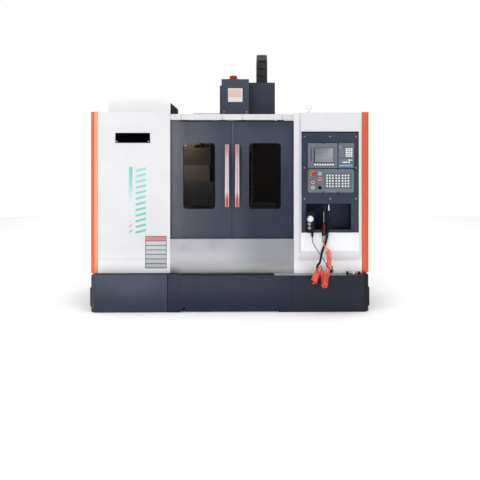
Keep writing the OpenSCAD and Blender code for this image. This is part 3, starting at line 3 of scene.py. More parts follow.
import bmesh
import bpy
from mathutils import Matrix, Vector


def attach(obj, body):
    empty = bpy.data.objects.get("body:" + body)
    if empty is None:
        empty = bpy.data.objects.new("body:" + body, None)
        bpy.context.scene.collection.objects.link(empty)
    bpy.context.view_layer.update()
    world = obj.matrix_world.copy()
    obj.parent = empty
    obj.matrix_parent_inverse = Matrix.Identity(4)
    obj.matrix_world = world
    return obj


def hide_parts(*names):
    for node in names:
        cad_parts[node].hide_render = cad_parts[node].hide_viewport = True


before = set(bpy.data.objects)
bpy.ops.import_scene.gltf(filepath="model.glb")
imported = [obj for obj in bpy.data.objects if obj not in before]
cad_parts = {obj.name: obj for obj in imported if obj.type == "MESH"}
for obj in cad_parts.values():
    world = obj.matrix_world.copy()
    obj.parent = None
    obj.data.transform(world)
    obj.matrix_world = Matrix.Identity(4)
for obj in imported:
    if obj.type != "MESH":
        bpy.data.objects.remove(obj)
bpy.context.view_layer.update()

scene = bpy.context.scene

# ---------------------------------------------------------------- camera and studio
# The photograph is a level, nearly square-on view from the middle of the machine's front,
# taken from about 5 m. White air behind and large soft lights stand round it.
eye = Vector((0.015, -6.1, 1.316))
camera = bpy.data.objects.new("camera", bpy.data.cameras.new("camera"))
scene.collection.objects.link(camera)
camera.location = eye
camera.rotation_euler = (math.radians(90), 0, math.radians(-0.76))
camera.data.lens = 45.4
camera.data.sensor_width = 36
camera.data.shift_y = -0.175
camera.data.clip_end = 60
scene.camera = camera
scene.view_settings.view_transform = "Standard"


def soft_light(name, place, aim, width, height, power):
    """A rectangular soft light at a place, turned towards the aim."""
    data = bpy.data.lights.new(name, "AREA")
    data.shape = "RECTANGLE"
    data.size = width
    data.size_y = height
    data.energy = power
    lamp = bpy.data.objects.new(name, data)
    scene.collection.objects.link(lamp)
    lamp.location = place
    lamp.rotation_euler = (Vector(aim) - Vector(place)).to_track_quat("-Z", "Y").to_euler()
    lamp.visible_camera = False


class Wire:
    """An output socket in a finish's node tree; arithmetic on wires adds Math nodes."""

    def __init__(self, tree, socket=None):
        self.tree = tree
        self.socket = socket

    def node(self, kind, feed=None, out=0, stops=None, **settings):
        """Any node: its settings first, then values or wires for its sockets."""
        made = self.tree.nodes.new("ShaderNode" + kind)
        for name, value in settings.items():
            setattr(made, name, value)
        if stops:
            ramp = made.color_ramp.elements
            while len(ramp) < len(stops):
                ramp.new(0.5)
            for element, (place, shade) in zip(ramp, stops):
                element.position = place
                element.color = shade
        for name, value in (feed or {}).items():
            if isinstance(value, Wire):
                self.tree.links.new(value.socket, made.inputs[name])
            else:
                made.inputs[name].default_value = value
        return Wire(self.tree, made.outputs[out])

    def math(self, operation, *others):
        return self.node("Math", {i: v for i, v in enumerate((self,) + others)}, operation=operation)

    def __add__(self, other):
        return self.math("ADD", other)

    __radd__ = __add__

    def __mul__(self, other):
        return self.math("MULTIPLY", other)

    __rmul__ = __mul__

    def __sub__(self, other):
        return self.math("SUBTRACT", other)

    def __rsub__(self, other):
        return self.node("Math", {0: other, 1: self}, operation="SUBTRACT")

    def step(self, low, high, start=0.0, end=1.0):
        """Rises smoothly from start at low to end at high."""
        return self.node(
            "MapRange",
            {"Value": self, "From Min": low, "From Max": high, "To Min": start, "To Max": end},
            interpolation_type="SMOOTHSTEP",
        )

    def within(self, low, high, edge=0.0004):
        """1 between low and high and 0 outside, with a narrow edge."""
        return self.step(low - edge, low + edge) * self.step(high - edge, high + edge, 1.0, 0.0)

    def mix(self, first, second):
        """This wire's value blends the first colour into the second."""
        return self.node("Mix", {0: self, 6: first, 7: second}, out=2, data_type="RGBA")

    def noise(self, size, detail=3.0, rough=0.5, stretch=(1, 1, 1)):
        """Noise of that grain size in metres, on Object coordinates, longer where stretch is above 1."""
        place = self.node("Mapping", {"Vector": self, "Scale": tuple(1 / size / s for s in stretch)})
        grain = {"Vector": place, "Scale": 1.0, "Detail": detail, "Roughness": rough}
        return self.node("TexNoise", grain)


# Behind the machine the air is white; before it, where the photographer stands, it is dim.
world = bpy.data.worlds.new("studio_air")
scene.world = world
world.use_nodes = True
ahead = Wire(world.node_tree).node("TexCoord", out="Generated")
ahead = ahead.node("SeparateXYZ", {0: ahead}, out="Y").step(-0.35, 0.12, 0.44, 1.0)
backdrop = world.node_tree.nodes["Background"]
backdrop.inputs["Color"].default_value = (1, 1, 1, 1)
world.node_tree.links.new(ahead.socket, backdrop.inputs["Strength"])
soft_light("key_light", (-3.2, -5.6, 1.9), (-0.2, 0, 0.9), 2.6, 2.2, 76)
soft_light("fill_light", (3.6, -5.2, 1.3), (0.3, 0, 0.7), 2.4, 1.8, 28)
soft_light("low_light", (0, -4.6, 0.35), (0, -0.9, 0.5), 4.6, 0.5, 9)
soft_light("work_lamp", (-0.45, -0.35, 1.66), (-0.35, 0.28, 1.2), 0.3, 0.1, 1.6)
soft_light("top_light", (0, -1.6, 5.4), (0, -0.9, 0), 4.5, 3.0, 170)
soft_light("back_light", (0.5, 7.0, 5.0), (0, 4.6, 0.0), 5.0, 3.0, 170)


def rgb(red, green, blue):
    """A colour as the eye names it, in steps of 255, for a socket."""
    return tuple(
        ((c / 255 + 0.055) / 1.055) ** 2.4 if c > 10 else c / 255 / 12.92 for c in (red, green, blue)
    ) + (1.0,)


def new_finish(name):
    """An empty finish: its Principled shader, the Object coordinates and their X, Y and Z."""
    finish = bpy.data.materials.new(name)
    finish.use_nodes = True
    tree = finish.node_tree
    shader = tree.nodes["Principled BSDF"]
    place = Wire(tree).node("TexCoord", out="Object")
    axes = [place.node("SeparateXYZ", {0: place}, out=axis) for axis in "XYZ"]
    return finish, shader, place, axes


def feed_finish(finish, shader, **sockets):
    """Gives the shader's sockets their values or wires; bump is (height wire, depth in metres)."""
    named = {socket.name.lower().replace(" ", "_"): socket for socket in shader.inputs}
    for name, value in sockets.items():
        if name == "bump":
            height, depth = value
            bump = height.node("Bump", {"Height": height, "Distance": depth, "Strength": 1.0})
            finish.node_tree.links.new(bump.socket, named["normal"])
        elif isinstance(value, Wire):
            finish.node_tree.links.new(value.socket, named[name])
        else:
            named[name].default_value = value
    return finish


def dress(finish, *names):
    """Gives CAD nodes this finish."""
    for name in names:
        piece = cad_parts[name]
        piece.data.materials.clear()
        piece.data.materials.append(finish)


def finished(piece, body, finish, slot, stands_for=()):
    """Gives a piece made here its finish and its body, and the CAD nodes it stands for; the slot is not
    used.
    """
    if piece.type == "MESH":
        piece.data.materials.clear()
    piece.data.materials.append(finish)
    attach(piece, body)
    if stands_for:
        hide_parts(*stands_for)
    return piece


# The floor is one pale seamless sheet.
bpy.ops.object.select_all(action="DESELECT")
bpy.ops.mesh.primitive_plane_add(size=14, location=(0, 0, -0.001))
floor = bpy.context.object
floor.name = "studio_floor"
finish, shader, place, (x, y, z) = new_finish("studio_floor")
tone = place.noise(1.7).step(0.3, 0.7).mix(rgb(246, 246, 246), rgb(252, 252, 252))
floor.data.materials.append(feed_finish(finish, shader, base_color=tone, roughness=0.85))


# ---------------------------------------------------------------- cords
# Three cords hang at the operator's side: the hand pendant's thin cable, the coolant gun's
# thick hose and the air gun's coiled hose. Each runs from its tool to a port on the tank's ledge.
def smooth_route(points, gap):
    """A route through the points, in metres, with an even gap between its own points."""
    knots = [Vector(p) / 1000 for p in points]
    knots = [knots[0] * 2 - knots[1]] + knots + [knots[-1] * 2 - knots[-2]]
    fine = []
    for a, b, c, d in zip(knots, knots[1:], knots[2:], knots[3:]):
        for i in range(24):
            t = i / 24
            fine.append(
                b + (c - a) * (t / 2) + (a * 2 - b * 5 + c * 4 - d) * (t * t / 2)
                + (b * 3 - a - c * 3 + d) * (t ** 3 / 2)
            )
    fine.append(knots[-2].copy())
    total = sum((b - a).length for a, b in zip(fine, fine[1:]))
    count = max(2, round(total / gap))
    want, walked, even = total / count, 0.0, [fine[0]]
    for a, b in zip(fine, fine[1:]):
        length = (b - a).length
        while len(even) < count and walked + length >= want * len(even):
            even.append(a.lerp(b, (want * len(even) - walked) / length))
        walked += length
    even.append(fine[-1])
    return even


def cord_curve(name, points, diameter, sides=3):
    """A round cord along the points, as a curve with one open spline, and its length."""
    data = bpy.data.curves.new(name, "CURVE")
    data.dimensions = "3D"
    data.bevel_depth = diameter / 2
    data.bevel_resolution = sides
    data.use_fill_caps = True
    spline = data.splines.new("POLY")
    spline.points.add(len(points) - 1)
    for slot, point in zip(spline.points, points):
        slot.co = (*point, 1.0)
    piece = bpy.data.objects.new(name, data)
    scene.collection.objects.link(piece)
    return piece, sum((b - a).length for a, b in zip(points, points[1:]))


finish, shader, place, (x, y, z) = new_finish("cord_rubber")
dust = place.noise(0.02, 4.0).step(0.45, 0.75)
black_rubber = feed_finish(
    finish, shader, base_color=dust.mix(rgb(14, 14, 17), rgb(26, 27, 30)),
    specular_ior_level=0.25, roughness=dust * 0.2 + 0.5, bump=(place.noise(0.002, 2.0), 0.0002),
)

pendant_route = smooth_route([
    (682, -1086, 640), (682, -1086, 622), (686, -1089, 600), (696, -1092, 578), (712, -1094, 552),
    (729, -1096, 526), (748, -1098, 498), (768, -1099, 466), (790, -1099, 430), (812, -1100, 396),
    (832, -1098, 372), (848, -1086, 360), (857, -1062, 357), (861, -1032, 362), (863, -1004, 374),
    (863, -978, 383), (862, -963, 376), (862, -958, 362), (862, -958, 348),
], 0.008)
cable, length = cord_curve("pendant_lead", pendant_route, 0.006)
finished(cable, "frame", black_rubber, "pendant_cable", ["pendant_cable"])

coolant_route = smooth_route([
    (808, -1080, 679), (808, -1080, 664), (805, -1079, 645), (801, -1078, 624), (796, -1076, 602),
    (788, -1073, 580), (779, -1072, 558), (770, -1072, 536), (763, -1071, 512), (759, -1068, 488),
    (756, -1056, 460), (754, -1038, 434), (751, -1016, 414), (747, -994, 402), (743, -974, 392),
    (740, -960, 376), (740, -958, 362), (740, -958, 348),
], 0.01)
cable, length = cord_curve("coolant_pipe", coolant_route, 0.019, sides=6)
finished(cable, "frame", black_rubber, "coolant_hose", ["coolant_hose"])

# The air hose is an 8 mm polyurethane tube that was wound hot, so it springs back into its coil.
# It leaves the gun straight, hangs as a coil in a loop before the tank and ends straight in its
# port. The last turns are wider, and the coil winds in and out over a few centimetres.
tube, coil_r, wider = 0.008, 0.0185, 0.0065
wind_in, wind_out, end_gap, turn_points = 0.040, 0.030, 0.022, 14
loose_pitch, close_up, close_more, least_pitch = 0.0165, 0.0048, 0.0030, 0.0086
hose_line = smooth_route([
    (777, -1087, 597), (777, -1087, 587), (779, -1095, 575), (787, -1108, 561), (799, -1111, 544),
    (810, -1110, 523), (817, -1104, 496), (820, -1096, 462), (820, -1084, 424), (815, -1074, 388),
    (808, -1070, 352), (801, -1069, 316), (796, -1070, 282), (793, -1068, 256), (791, -1057, 232),
    (789, -1042, 224), (786, -1029, 236), (784, -1025, 262), (782, -1025, 292), (778, -1027, 320),
    (768, -1030, 345), (754, -1034, 359), (739, -1038, 356), (727, -1042, 338), (717, -1045, 314),
    (709, -1048, 292), (702, -1050, 273), (698, -1050, 262), (695, -1045, 250), (697, -1034, 243),
    (701, -1023, 250), (706, -1017, 266), (711, -1016, 286), (716, -1014, 315), (726, -1006, 345),
    (742, -992, 362), (758, -978, 376), (771, -965, 378), (778, -958, 364), (778, -958, 348),
], 0.0005)
walked = [0.0]
for a, b in zip(hose_line, hose_line[1:]):
    walked.append(walked[-1] + (b - a).length)


def eased(value):
    """0 up to 0, 1 from 1, and a smooth rise between."""
    value = min(1.0, max(0.0, value))
    return value * value * (3 - 2 * value)


def nearest_walk(point):
    """How far along the hose's line the point lies."""
    target = Vector(point) / 1000
    return walked[min(range(len(hose_line)), key=lambda i: (hose_line[i] - target).length)]


coil_start, coil_end = nearest_walk((787, -1108, 561)), nearest_walk((695, -1045, 250))
loop_low, loop_top = nearest_walk((789, -1042, 224)), nearest_walk((754, -1034, 359))
# The turns close up towards the loop's low point and past its top, and open where the line
# bends, to keep neighbours apart.
side = Vector((0, 1, 0))
turn, last_turn, hose_path, last_walk = 0.0, -1.0, [], -1.0
for i in range(len(hose_line) - 1):
    heading = (hose_line[i + 1] - hose_line[max(0, i - 1)]).normalized()
    side = (side - heading * side.dot(heading)).normalized()
    up = heading.cross(side)
    ahead = hose_line[min(len(hose_line) - 1, i + 40)]
    behind = hose_line[max(0, i - 40)]
    middle = hose_line[i]
    chord_a, chord_b = (middle - behind), (ahead - middle)
    bend = chord_a.angle(chord_b, 0.0) / max(0.001, (chord_a.length + chord_b.length) / 2)
    reach = eased((walked[i] - coil_start) / wind_in)
    reach *= 1 - eased((walked[i] - coil_end + end_gap) / wind_out)
    loose = loose_pitch - close_up * eased((walked[i] - loop_low + 0.12) / 0.10)
    loose -= close_more * eased((walked[i] - loop_top) / 0.03)
    opened = least_pitch / max(0.3, 1 - bend * (coil_r + tube / 2))
    pitch = max(loose, opened) / max(0.15, reach)
    wound = coil_r + wider * eased((walked[i] - loop_top - 0.03) / 0.03)
    if reach > 0:
        turn += 2 * math.pi * (walked[i + 1] - walked[i]) / pitch
    if reach == 0 and walked[i] - max(0.0, last_walk) < 0.004 and hose_path:
        continue
    if reach > 0 and hose_path and turn - last_turn < 2 * math.pi / turn_points:
        continue
    last_turn, last_walk = turn, walked[i]
    hose_path.append(middle + (side * math.cos(turn) + up * math.sin(turn)) * (wound * reach))
hose_path.append(hose_line[-1])

finish, shader, place, (x, y, z) = new_finish("hose_polyurethane")
shade = place.noise(0.05).step(0.3, 0.7)
hose_red = feed_finish(
    finish, shader, base_color=shade.mix(rgb(236, 84, 60), rgb(246, 104, 80)),
    roughness=shade * 0.1 + 0.24, coat_weight=0.3,
)
hose_path = smooth_route([point * 1000 for point in hose_path], 0.0042)
hose, length = cord_curve("coiled_hose", hose_path, tube, sides=2)
finished(hose, "frame", hose_red, "air_hose", ["air_hose"])


# ---------------------------------------------------------------- coolant tank and skirts
# The tank is a folded and welded sheet-steel box that stands across the front like a drawer.
# It is stoved in slate enamel, as are the skirts that close the sides behind it.
def enamel(name, light, dark, rough=0.42, peel=0.00006, soil=0.0, soil_from=0.0, patches=(),
           shine_level=0.3, mottle=0.0):
    """Stoved enamel on sheet steel: clouding, a fine orange peel and some dust above the floor.
    Each patch is an area, a colour, a roughness and whether it is bare metal."""
    finish, shader, place, (x, y, z) = new_finish(name)
    tone = place.noise(0.35, 2.0).step(0.3, 0.7).mix(dark, light)
    shine = place.noise(0.05, 5.0, 0.65).step(0.5, 0.8) * 0.12 + rough
    metal = 0.0
    if mottle:
        flecks = place.noise(0.028, 5.0, 0.75).step(0.4, 0.7) * mottle
        tone = flecks.mix(tone, rgb(26, 28, 36))
    if soil:
        dusty = z.step(soil_from + 0.25, soil_from, 0.0, soil)
        dusty = dusty * place.noise(0.03, 5.0, 0.7).step(0.3, 0.75)
        tone = dusty.mix(tone, rgb(132, 126, 116))
        shine = dusty * 0.3 + shine
    for area, colour, gloss, bare in patches:
        inside = area(x, y, z)
        tone = inside.mix(tone, colour)
        shine = shine * (1 - inside) + inside * gloss
        if bare or isinstance(metal, Wire):
            metal = inside if not isinstance(metal, Wire) else metal * (1 - inside) + inside * float(bare)
    return feed_finish(
        finish, shader, base_color=tone, roughness=shine, metallic=metal,
        bump=(place.noise(0.0035, 2.0), peel), specular_ior_level=shine_level,
    )


def block(x_span=None, y_span=None, z_span=None):
    """An area between limits in metres along each axis that is given."""
    def area(x, y, z):
        inside = None
        for axis, span in ((x, x_span), (y, y_span), (z, z_span)):
            if span:
                part = axis.within(*span)
                inside = part if inside is None else inside * part
        return inside
    return area


seam_gap = rgb(14, 15, 18)
zinc = rgb(178, 180, 182)
slate_light, slate_dark = rgb(58, 63, 76), rgb(50, 55, 67)
shade_right = rgb(6, 10, 30)
# First come soft gradients of painted light and shade on the tank, then its corner faces, darkened as
# painted shade, the ledge's three lengths, the left and middle ones painted shadow and the right one pale
# grey sheet, then the seams, four ports, and the valve block with its knobs.
dress(enamel(
    "tank_enamel", rgb(70, 75, 94), rgb(60, 64, 82), 0.40, 0.00010, soil=0.12, patches=[
        (lambda x, y, z: x.step(-0.528, -0.522, 0.0, 0.70), rgb(26, 33, 53), 0.4, 0),
        (lambda x, y, z: x.step(-0.2, 1.0, 0.0, 0.85), shade_right, 0.4, 0),
        (lambda x, y, z: z.step(0.26, 0.06, 0.0, 0.7), rgb(22, 28, 50), 0.4, 0),
        (lambda x, y, z: z.step(0.22, 0.05, 0.0, 0.6) * x.step(-0.528, -0.522), rgb(10, 16, 38), 0.4, 0),
        # The corner faces are painted dark as shade, the right one nearly black.
        (block((-1.18, -1.136), (-1.01, -0.96)), rgb(30, 38, 52), 0.4, 0),
        (block((1.136, 1.18), (-1.01, -0.96)), rgb(5, 6, 9), 0.75, 0),
        # The ledge's left and middle lengths are painted shadow; its right length is pale grey sheet.
        (block((-1.14, -0.43), (-1.01, -0.97), (0.320, 0.33)), rgb(12, 13, 16), 0.6, 0),
        (block((-0.43, 0.375), (-0.999, -0.89), (0.3075, 0.31)), rgb(8, 8, 9), 0.7, 0),
        (block((0.375, 0.985), (-0.995, -0.89), (0.3075, 0.31)), rgb(150, 152, 160), 0.45, 0),
        (block((-0.530, -0.523), (-1.01, -0.997)), rgb(5, 6, 8), 0.8, 0),
        (block((0.5275, 0.5305), (-1.01, -0.997)), seam_gap, 0.8, 0),
        (block((0.985, 1.01), None, (0.309, 0.34)), rgb(28, 28, 30), 0.5, 0),
        (block((1.035, 1.065), None, (0.309, 0.34)), rgb(226, 226, 222), 0.4, 0),
        (block((1.085, 1.115), None, (0.309, 0.34)), rgb(30, 30, 32), 0.5, 0),
        (block((1.125, 1.165), None, (0.309, 0.34)), rgb(142, 30, 26), 0.4, 0),
        (block((0.72, 0.90), (-0.98, -0.93), (0.309, 0.3225)), zinc, 0.35, 1),
        (block((0.72, 0.757), (-0.98, -0.93), (0.3225, 0.35)), rgb(40, 40, 42), 0.5, 0),
        (block((0.757, 0.80), (-0.98, -0.93), (0.3225, 0.35)), rgb(186, 196, 92), 0.4, 0),
        (block((0.82, 0.90), (-0.98, -0.93), (0.3225, 0.35)), rgb(34, 34, 36), 0.5, 0),
    ],
), "coolant_tank")
dress(enamel("skirt_enamel", slate_light, slate_dark, 0.44, 0.00010, soil=0.12), "side_skirts")


def start_solid(name, x, y, z):
    """A box from limits in millimetres, ready to be shaped; nothing else is selected."""
    bpy.ops.object.select_all(action="DESELECT")
    middle = [(a + b) / 2000 for a, b in (x, y, z)]
    size = [abs(b - a) / 1000 for a, b in (x, y, z)]
    bpy.ops.mesh.primitive_cube_add(size=1, location=middle, scale=size)
    piece = bpy.context.object
    piece.name = name
    bpy.ops.object.transform_apply(location=True, rotation=True, scale=True)
    return piece


def pick(piece, parts, wanted):
    """Goes into edit mode with only the wanted verts, edges or faces of the piece selected."""
    bpy.ops.object.mode_set(mode="EDIT")
    bpy.ops.mesh.select_all(action="DESELECT")
    mesh = bmesh.from_edit_mesh(piece.data)
    for part in getattr(mesh, parts):
        part.select_set(wanted(part))
    bmesh.update_edit_mesh(piece.data)


def faces_front(face):
    return face.normal.y < -0.9


def round_corners(piece, radius, axis=1, segments=5):
    """Rounds the edges of a box that run along the axis, in millimetres."""
    pick(piece, "edges",
         lambda edge: abs((edge.verts[0].co - edge.verts[1].co).normalized()[axis]) > 0.99)
    bpy.ops.mesh.bevel(offset=radius / 1000, segments=segments, affect="EDGES")
    bpy.ops.object.mode_set(mode="OBJECT")


def soften(piece, width, segments=2, angle=35):
    """A small rounding of all sharp edges, in millimetres, applied, and smooth shading."""
    bpy.ops.object.select_all(action="DESELECT")
    piece.select_set(True)
    bpy.context.view_layer.objects.active = piece
    edge = piece.modifiers.new("edge", "BEVEL")
    edge.width = width / 1000
    edge.segments = segments
    edge.limit_method = "ANGLE"
    edge.angle_limit = math.radians(30)
    bpy.ops.object.modifier_apply(modifier=edge.name)
    bpy.ops.object.shade_smooth_by_angle(angle=math.radians(angle))


# Flat lugs with rounded ends stand at the tank's sides.
lug_black = enamel("lug_black", rgb(24, 25, 29), rgb(16, 17, 20), 0.5, 0.0001, shine_level=0.15)
for side, outer, inner in (("left", -1191, -1174), ("right", 1191, 1174)):
    lug = start_solid("tank_lug_" + side, (inner, outer), (-935, -905), (34, 196))
    round_corners(lug, 10, axis=0)
    soften(lug, 1.2)
    finished(lug, "frame", lug_black, "coolant_tank")


# A slate strip stands set back in the recess under the tank's front and darkens it, as painted shade.
kick_enamel = enamel("kick_enamel", rgb(44, 50, 68), rgb(36, 42, 58), 0.5, 0.0001, shine_level=0.2)
shade_strip = start_solid("kick_strip", (-380, 384), (-984, -982), (3, 44))
soften(shade_strip, 0.4)
finished(shade_strip, "frame", kick_enamel, "coolant_tank")


# ---------------------------------------------------------------- bed, column and guideways
# Bed and column are grey iron castings with filled and sprayed paint; the lands, rails and
# screws on them are ground steel, and the servo motors are black with red encoder caps.
def casting(name, light, dark):
    """Filled and sprayed paint on an iron casting: a lumpy, slightly glossy coat."""
    finish, shader, place, (x, y, z) = new_finish(name)
    lumps = place.noise(0.012, 4.0, 0.55) + place.noise(0.09, 2.0) * 1.5
    tone = place.noise(0.4, 3.0).step(0.3, 0.7).mix(dark, light)
    oily = place.noise(0.12, 4.0, 0.6).step(0.55, 0.75)
    tone = (oily * 0.35).mix(tone, rgb(58, 56, 50))
    return feed_finish(
        finish, shader, base_color=tone, roughness=oily * -0.15 + 0.5, bump=(lumps, 0.0006),
    )


def ground_steel(name, light, dark, rough, along=(14, 1, 1), grain=0.003, oil=0.25):
    """Bare machined steel: fine lines along the stretched axis and a thin film of oil."""
    finish, shader, place, (x, y, z) = new_finish(name)
    lines = place.noise(grain, 4.0, 0.6, along)
    film = place.noise(0.08, 4.0, 0.6).step(0.45, 0.75)
    tone = place.noise(0.2, 3.0).step(0.3, 0.7).mix(dark, light)
    tone = (film * oil).mix(tone, rgb(112, 104, 88))
    return feed_finish(
        finish, shader, base_color=tone, metallic=1.0,
        roughness=lines * 0.18 + film * -0.06 + rough, bump=(lines, 0.00005),
    )


dress(casting("bed_paint", rgb(104, 112, 118), rgb(90, 98, 104)),
      "bed", "saddle", "magazine_base", "head_casting")
dress(casting("column_paint", rgb(176, 180, 180), rgb(160, 164, 166)), "column")
dress(ground_steel("rail_steel", rgb(198, 200, 204), rgb(176, 178, 182), 0.18, (1, 14, 14)),
      "guide_rails")
dress(ground_steel("turned_steel", rgb(190, 192, 196), rgb(166, 168, 174), 0.22, (1, 1, 1)),
      "x_screw", "y_screw", "z_screw", "spindle")
dress(ground_steel("zinc_steel", rgb(168, 170, 172), rgb(146, 148, 152), 0.42, (1, 1, 1), 0.006),
      "levelling_feet")
dress(enamel(
    "motor_enamel", rgb(36, 36, 39), rgb(30, 30, 33), 0.36, 0.0001, patches=[
        (block(None, None, (2.132, 2.18)), rgb(158, 34, 32), 0.32, 0),
        (block(None, (0.905, 1.1), (0.3, 0.7)), rgb(188, 44, 36), 0.32, 0),
        (block(None, (0.2, 0.5), (1.98, 2.0399)), rgb(104, 112, 118), 0.5, 0),
    ],
), "axis_motors")


# ---------------------------------------------------------------- enclosure sheets
# The panels, the rear wall and the door header are folded steel sheets with white enamel. The
# corner posts are folded sheets too, orange outside, with a chamfer along their outer edge.
white_light, white_dark = rgb(222, 222, 224), rgb(217, 217, 220)
# The panels are painted brighter towards their foot, as painted light.
low_painted_light = (
    lambda x, y, z: z.step(0.54, 0.33, 0.0, 1.0) * x.step(-0.9, 0.9, 0.85, 1.0),
    rgb(254, 254, 255), 0.42, 0,
)
dress(enamel(
    "front_enamel", white_light, white_dark, soil=0.03, soil_from=0.3, patches=[
        low_painted_light,
        # Painted light: the right panel's strip beside the control box is lighter.
        (block((0.540, 0.592), (-0.91, -0.8985), (0.44, 1.70)), rgb(234, 234, 238), 0.42, 0),
        (block(None, (-0.91, -0.8985), (0.4335, 0.4365)), rgb(196, 198, 202), 0.6, 0),
    ],
), "front_panel_left", "front_panel_right")
seams = [
    (block(x_span, y_span), rgb(150, 152, 156), 0.6, 0) for x_span, y_span in (
        ((-1.21, -1.19), (-0.28, -0.277)), ((1.19, 1.21), (-0.2815, -0.2785)),
        ((-0.6215, -0.6185), (0.296, 0.31)), ((0.6585, 0.6615), (0.296, 0.31)),
    )
]
dress(enamel(
    "outer_enamel", rgb(206, 207, 210), rgb(198, 199, 203), soil=0.10, soil_from=0.35, patches=seams,
), "side_panels", "rear_wall")
dress(enamel("cabinet_enamel", rgb(204, 205, 208), rgb(196, 197, 201), soil=0.0, patches=[
    (block((-0.40, 0.42), (1.119, 1.13), (1.02, 1.36)), rgb(190, 191, 195), 0.5, 0),
]), "electrical_cabinet", "cabinet_door")
dress(enamel(
    "header_enamel", rgb(216, 216, 219), rgb(212, 212, 215), patches=[
        (block((-0.4225, -0.4195), (-0.91, -0.8875)), rgb(120, 122, 128), 0.5, 0),
        (block((0.4465, 0.4495), (-0.91, -0.8875)), rgb(120, 122, 128), 0.5, 0),
        (block((-0.076, -0.056), (-0.91, -0.8875)), rgb(206, 206, 210), 0.5, 0),
        (block((0.094, 0.114), (-0.91, -0.8875)), rgb(206, 206, 210), 0.5, 0),
    ],
), "door_header")
dress(enamel(
    "post_enamel", rgb(228, 96, 34), rgb(222, 92, 30), 0.36, soil=0.03, soil_from=0.3, patches=[
        # Painted light and shade: the left post's front face is much lighter, the right post's front face
        # a little lighter and its chamfer darker.
        (block((-1.1645, -1.12), (-0.91, -0.8985)), rgb(240, 150, 126), 0.36, 0),
        (block((1.12, 1.1645), (-0.91, -0.8985)), rgb(228, 104, 62), 0.36, 0),
        (block((1.1645, 1.21), (-0.91, -0.80)), rgb(212, 86, 32), 0.36, 0),
    ],
), "corner_trims")


def screw_head(name, x, y, z, d, height=2.5):
    """A button-head screw that faces the front, with a hexagon socket, in millimetres."""
    bpy.ops.object.select_all(action="DESELECT")
    bpy.ops.mesh.primitive_cylinder_add(
        vertices=24, radius=d / 2000, depth=height / 1000,
        location=(x / 1000, (y - height / 2) / 1000, z / 1000), rotation=(math.radians(90), 0, 0),
    )
    piece = bpy.context.object
    piece.name = name
    bpy.ops.object.transform_apply(location=True, rotation=True, scale=True)
    pick(piece, "faces", faces_front)
    bpy.ops.mesh.inset(thickness=d * 0.14 / 1000)
    bpy.ops.transform.translate(value=(0, -0.0006, 0))
    bpy.ops.mesh.inset(thickness=d * 0.12 / 1000)
    bpy.ops.transform.translate(value=(0, height * 0.6 / 1000, 0))
    bpy.ops.object.mode_set(mode="OBJECT")
    soften(piece, 0.25)
    return piece


# The left front panel carries a black plate held by two screws, a plain film stripe that fades
# downwards, slanted film bars and slashes, and a grey card of blank rows.
front = -900
screw_steel = ground_steel(
    "screw_steel", rgb(205, 207, 210), rgb(186, 188, 192), 0.28, (1, 1, 1), 0.002, 0.1,
)
plate = start_solid("bare_black_plate", (-984, -687), (front - 2.2, front), (1428, 1514))
round_corners(plate, 4)
soften(plate, 0.5)
black_plate = enamel("anodised_black", rgb(6, 6, 8), rgb(4, 4, 6), 0.34, 0.00002, shine_level=0.0)
finished(plate, "frame", black_plate, "control_plate")
for side, x in (("left", -971), ("right", -700)):
    screw = screw_head("plate_screw_" + side, x, front - 2.2, 1441, 10)
    finished(screw, "frame", screw_steel, "levelling_feet")


# Button-head screws hold the side panels and the rear wall to the frame.
def turned_screw(name, x, y, z, d, turn, height=3.5):
    """A button-head screw that faces away from the front by that turn in degrees."""
    piece = screw_head(name, 0, 0, 0, d, height)
    piece.rotation_euler = (0, 0, math.radians(turn))
    piece.location = (x / 1000, y / 1000, z / 1000)
    bpy.ops.object.select_all(action="DESELECT")
    piece.select_set(True)
    bpy.context.view_layer.objects.active = piece
    bpy.ops.object.transform_apply(location=True, rotation=True, scale=True)
    return piece


panel_screw_d = 15
for row, z in enumerate((372, 690, 1008, 1326, 1640)):
    for column, y in enumerate((-806, -300, -258, 246)):
        for side, x, turn in (("left", -1198, -90), ("right", 1198, 90)):
            screw = turned_screw(f"side_screw_{side}_{row}_{column}", x, y, z, panel_screw_d, turn)
            finished(screw, "frame", screw_steel, "levelling_feet")
    for column, x in enumerate((-1140, -642, -598, 638, 682, 1140)):
        screw = turned_screw(f"rear_screw_{row}_{column}", x, 300, z, panel_screw_d, 180)
        finished(screw, "frame", screw_steel, "levelling_feet")


def film(name, light, dark, z_low, z_high):
    """Printed film that turns from one colour at its low end into another at its high end."""
    finish, shader, place, (x, y, z) = new_finish(name)
    tone = z.step(z_low, z_high).mix(light, dark)
    return feed_finish(finish, shader, base_color=tone, roughness=place.noise(0.03, 4.0) * 0.1 + 0.3)


def slanted_film(name, x_span, z_span, rise, finish):
    """A strip of film whose right end stands higher by the rise, in millimetres."""
    strip = start_solid(name, x_span, film_depth, z_span)
    pick(strip, "verts", lambda corner: corner.co.x > sum(x_span) / 2000)
    bpy.ops.transform.translate(value=(0, 0, rise / 1000))
    bpy.ops.object.mode_set(mode="OBJECT")
    finished(strip, "frame", finish, "front_panel_left")


film_depth = (front - 0.6, front)
stripe = start_solid("film_stripe", (-868, -837), film_depth, (846, 1222))
stripe_film = film("teal_film", rgb(204, 228, 226), rgb(110, 204, 194), 0.85, 1.2)
finished(stripe, "frame", stripe_film, "front_panel_left")
bar_teal = film("teal_bar", rgb(84, 190, 172), rgb(190, 230, 224), 0.65, 0.83)
for i, z in enumerate((788, 744, 698, 650)):
    slanted_film(f"film_bar_{i + 1}", (-866, -840), (z, z + 16), 27, bar_teal)
slashes = film("teal_slash", rgb(96, 196, 180), rgb(140, 214, 204), 0.66, 1.22)
for i in range(12):
    z = 1178 - i * 48
    slanted_film(f"film_slash_{i + 1}", (-812, -722), (z, z + 20), 22, slashes)

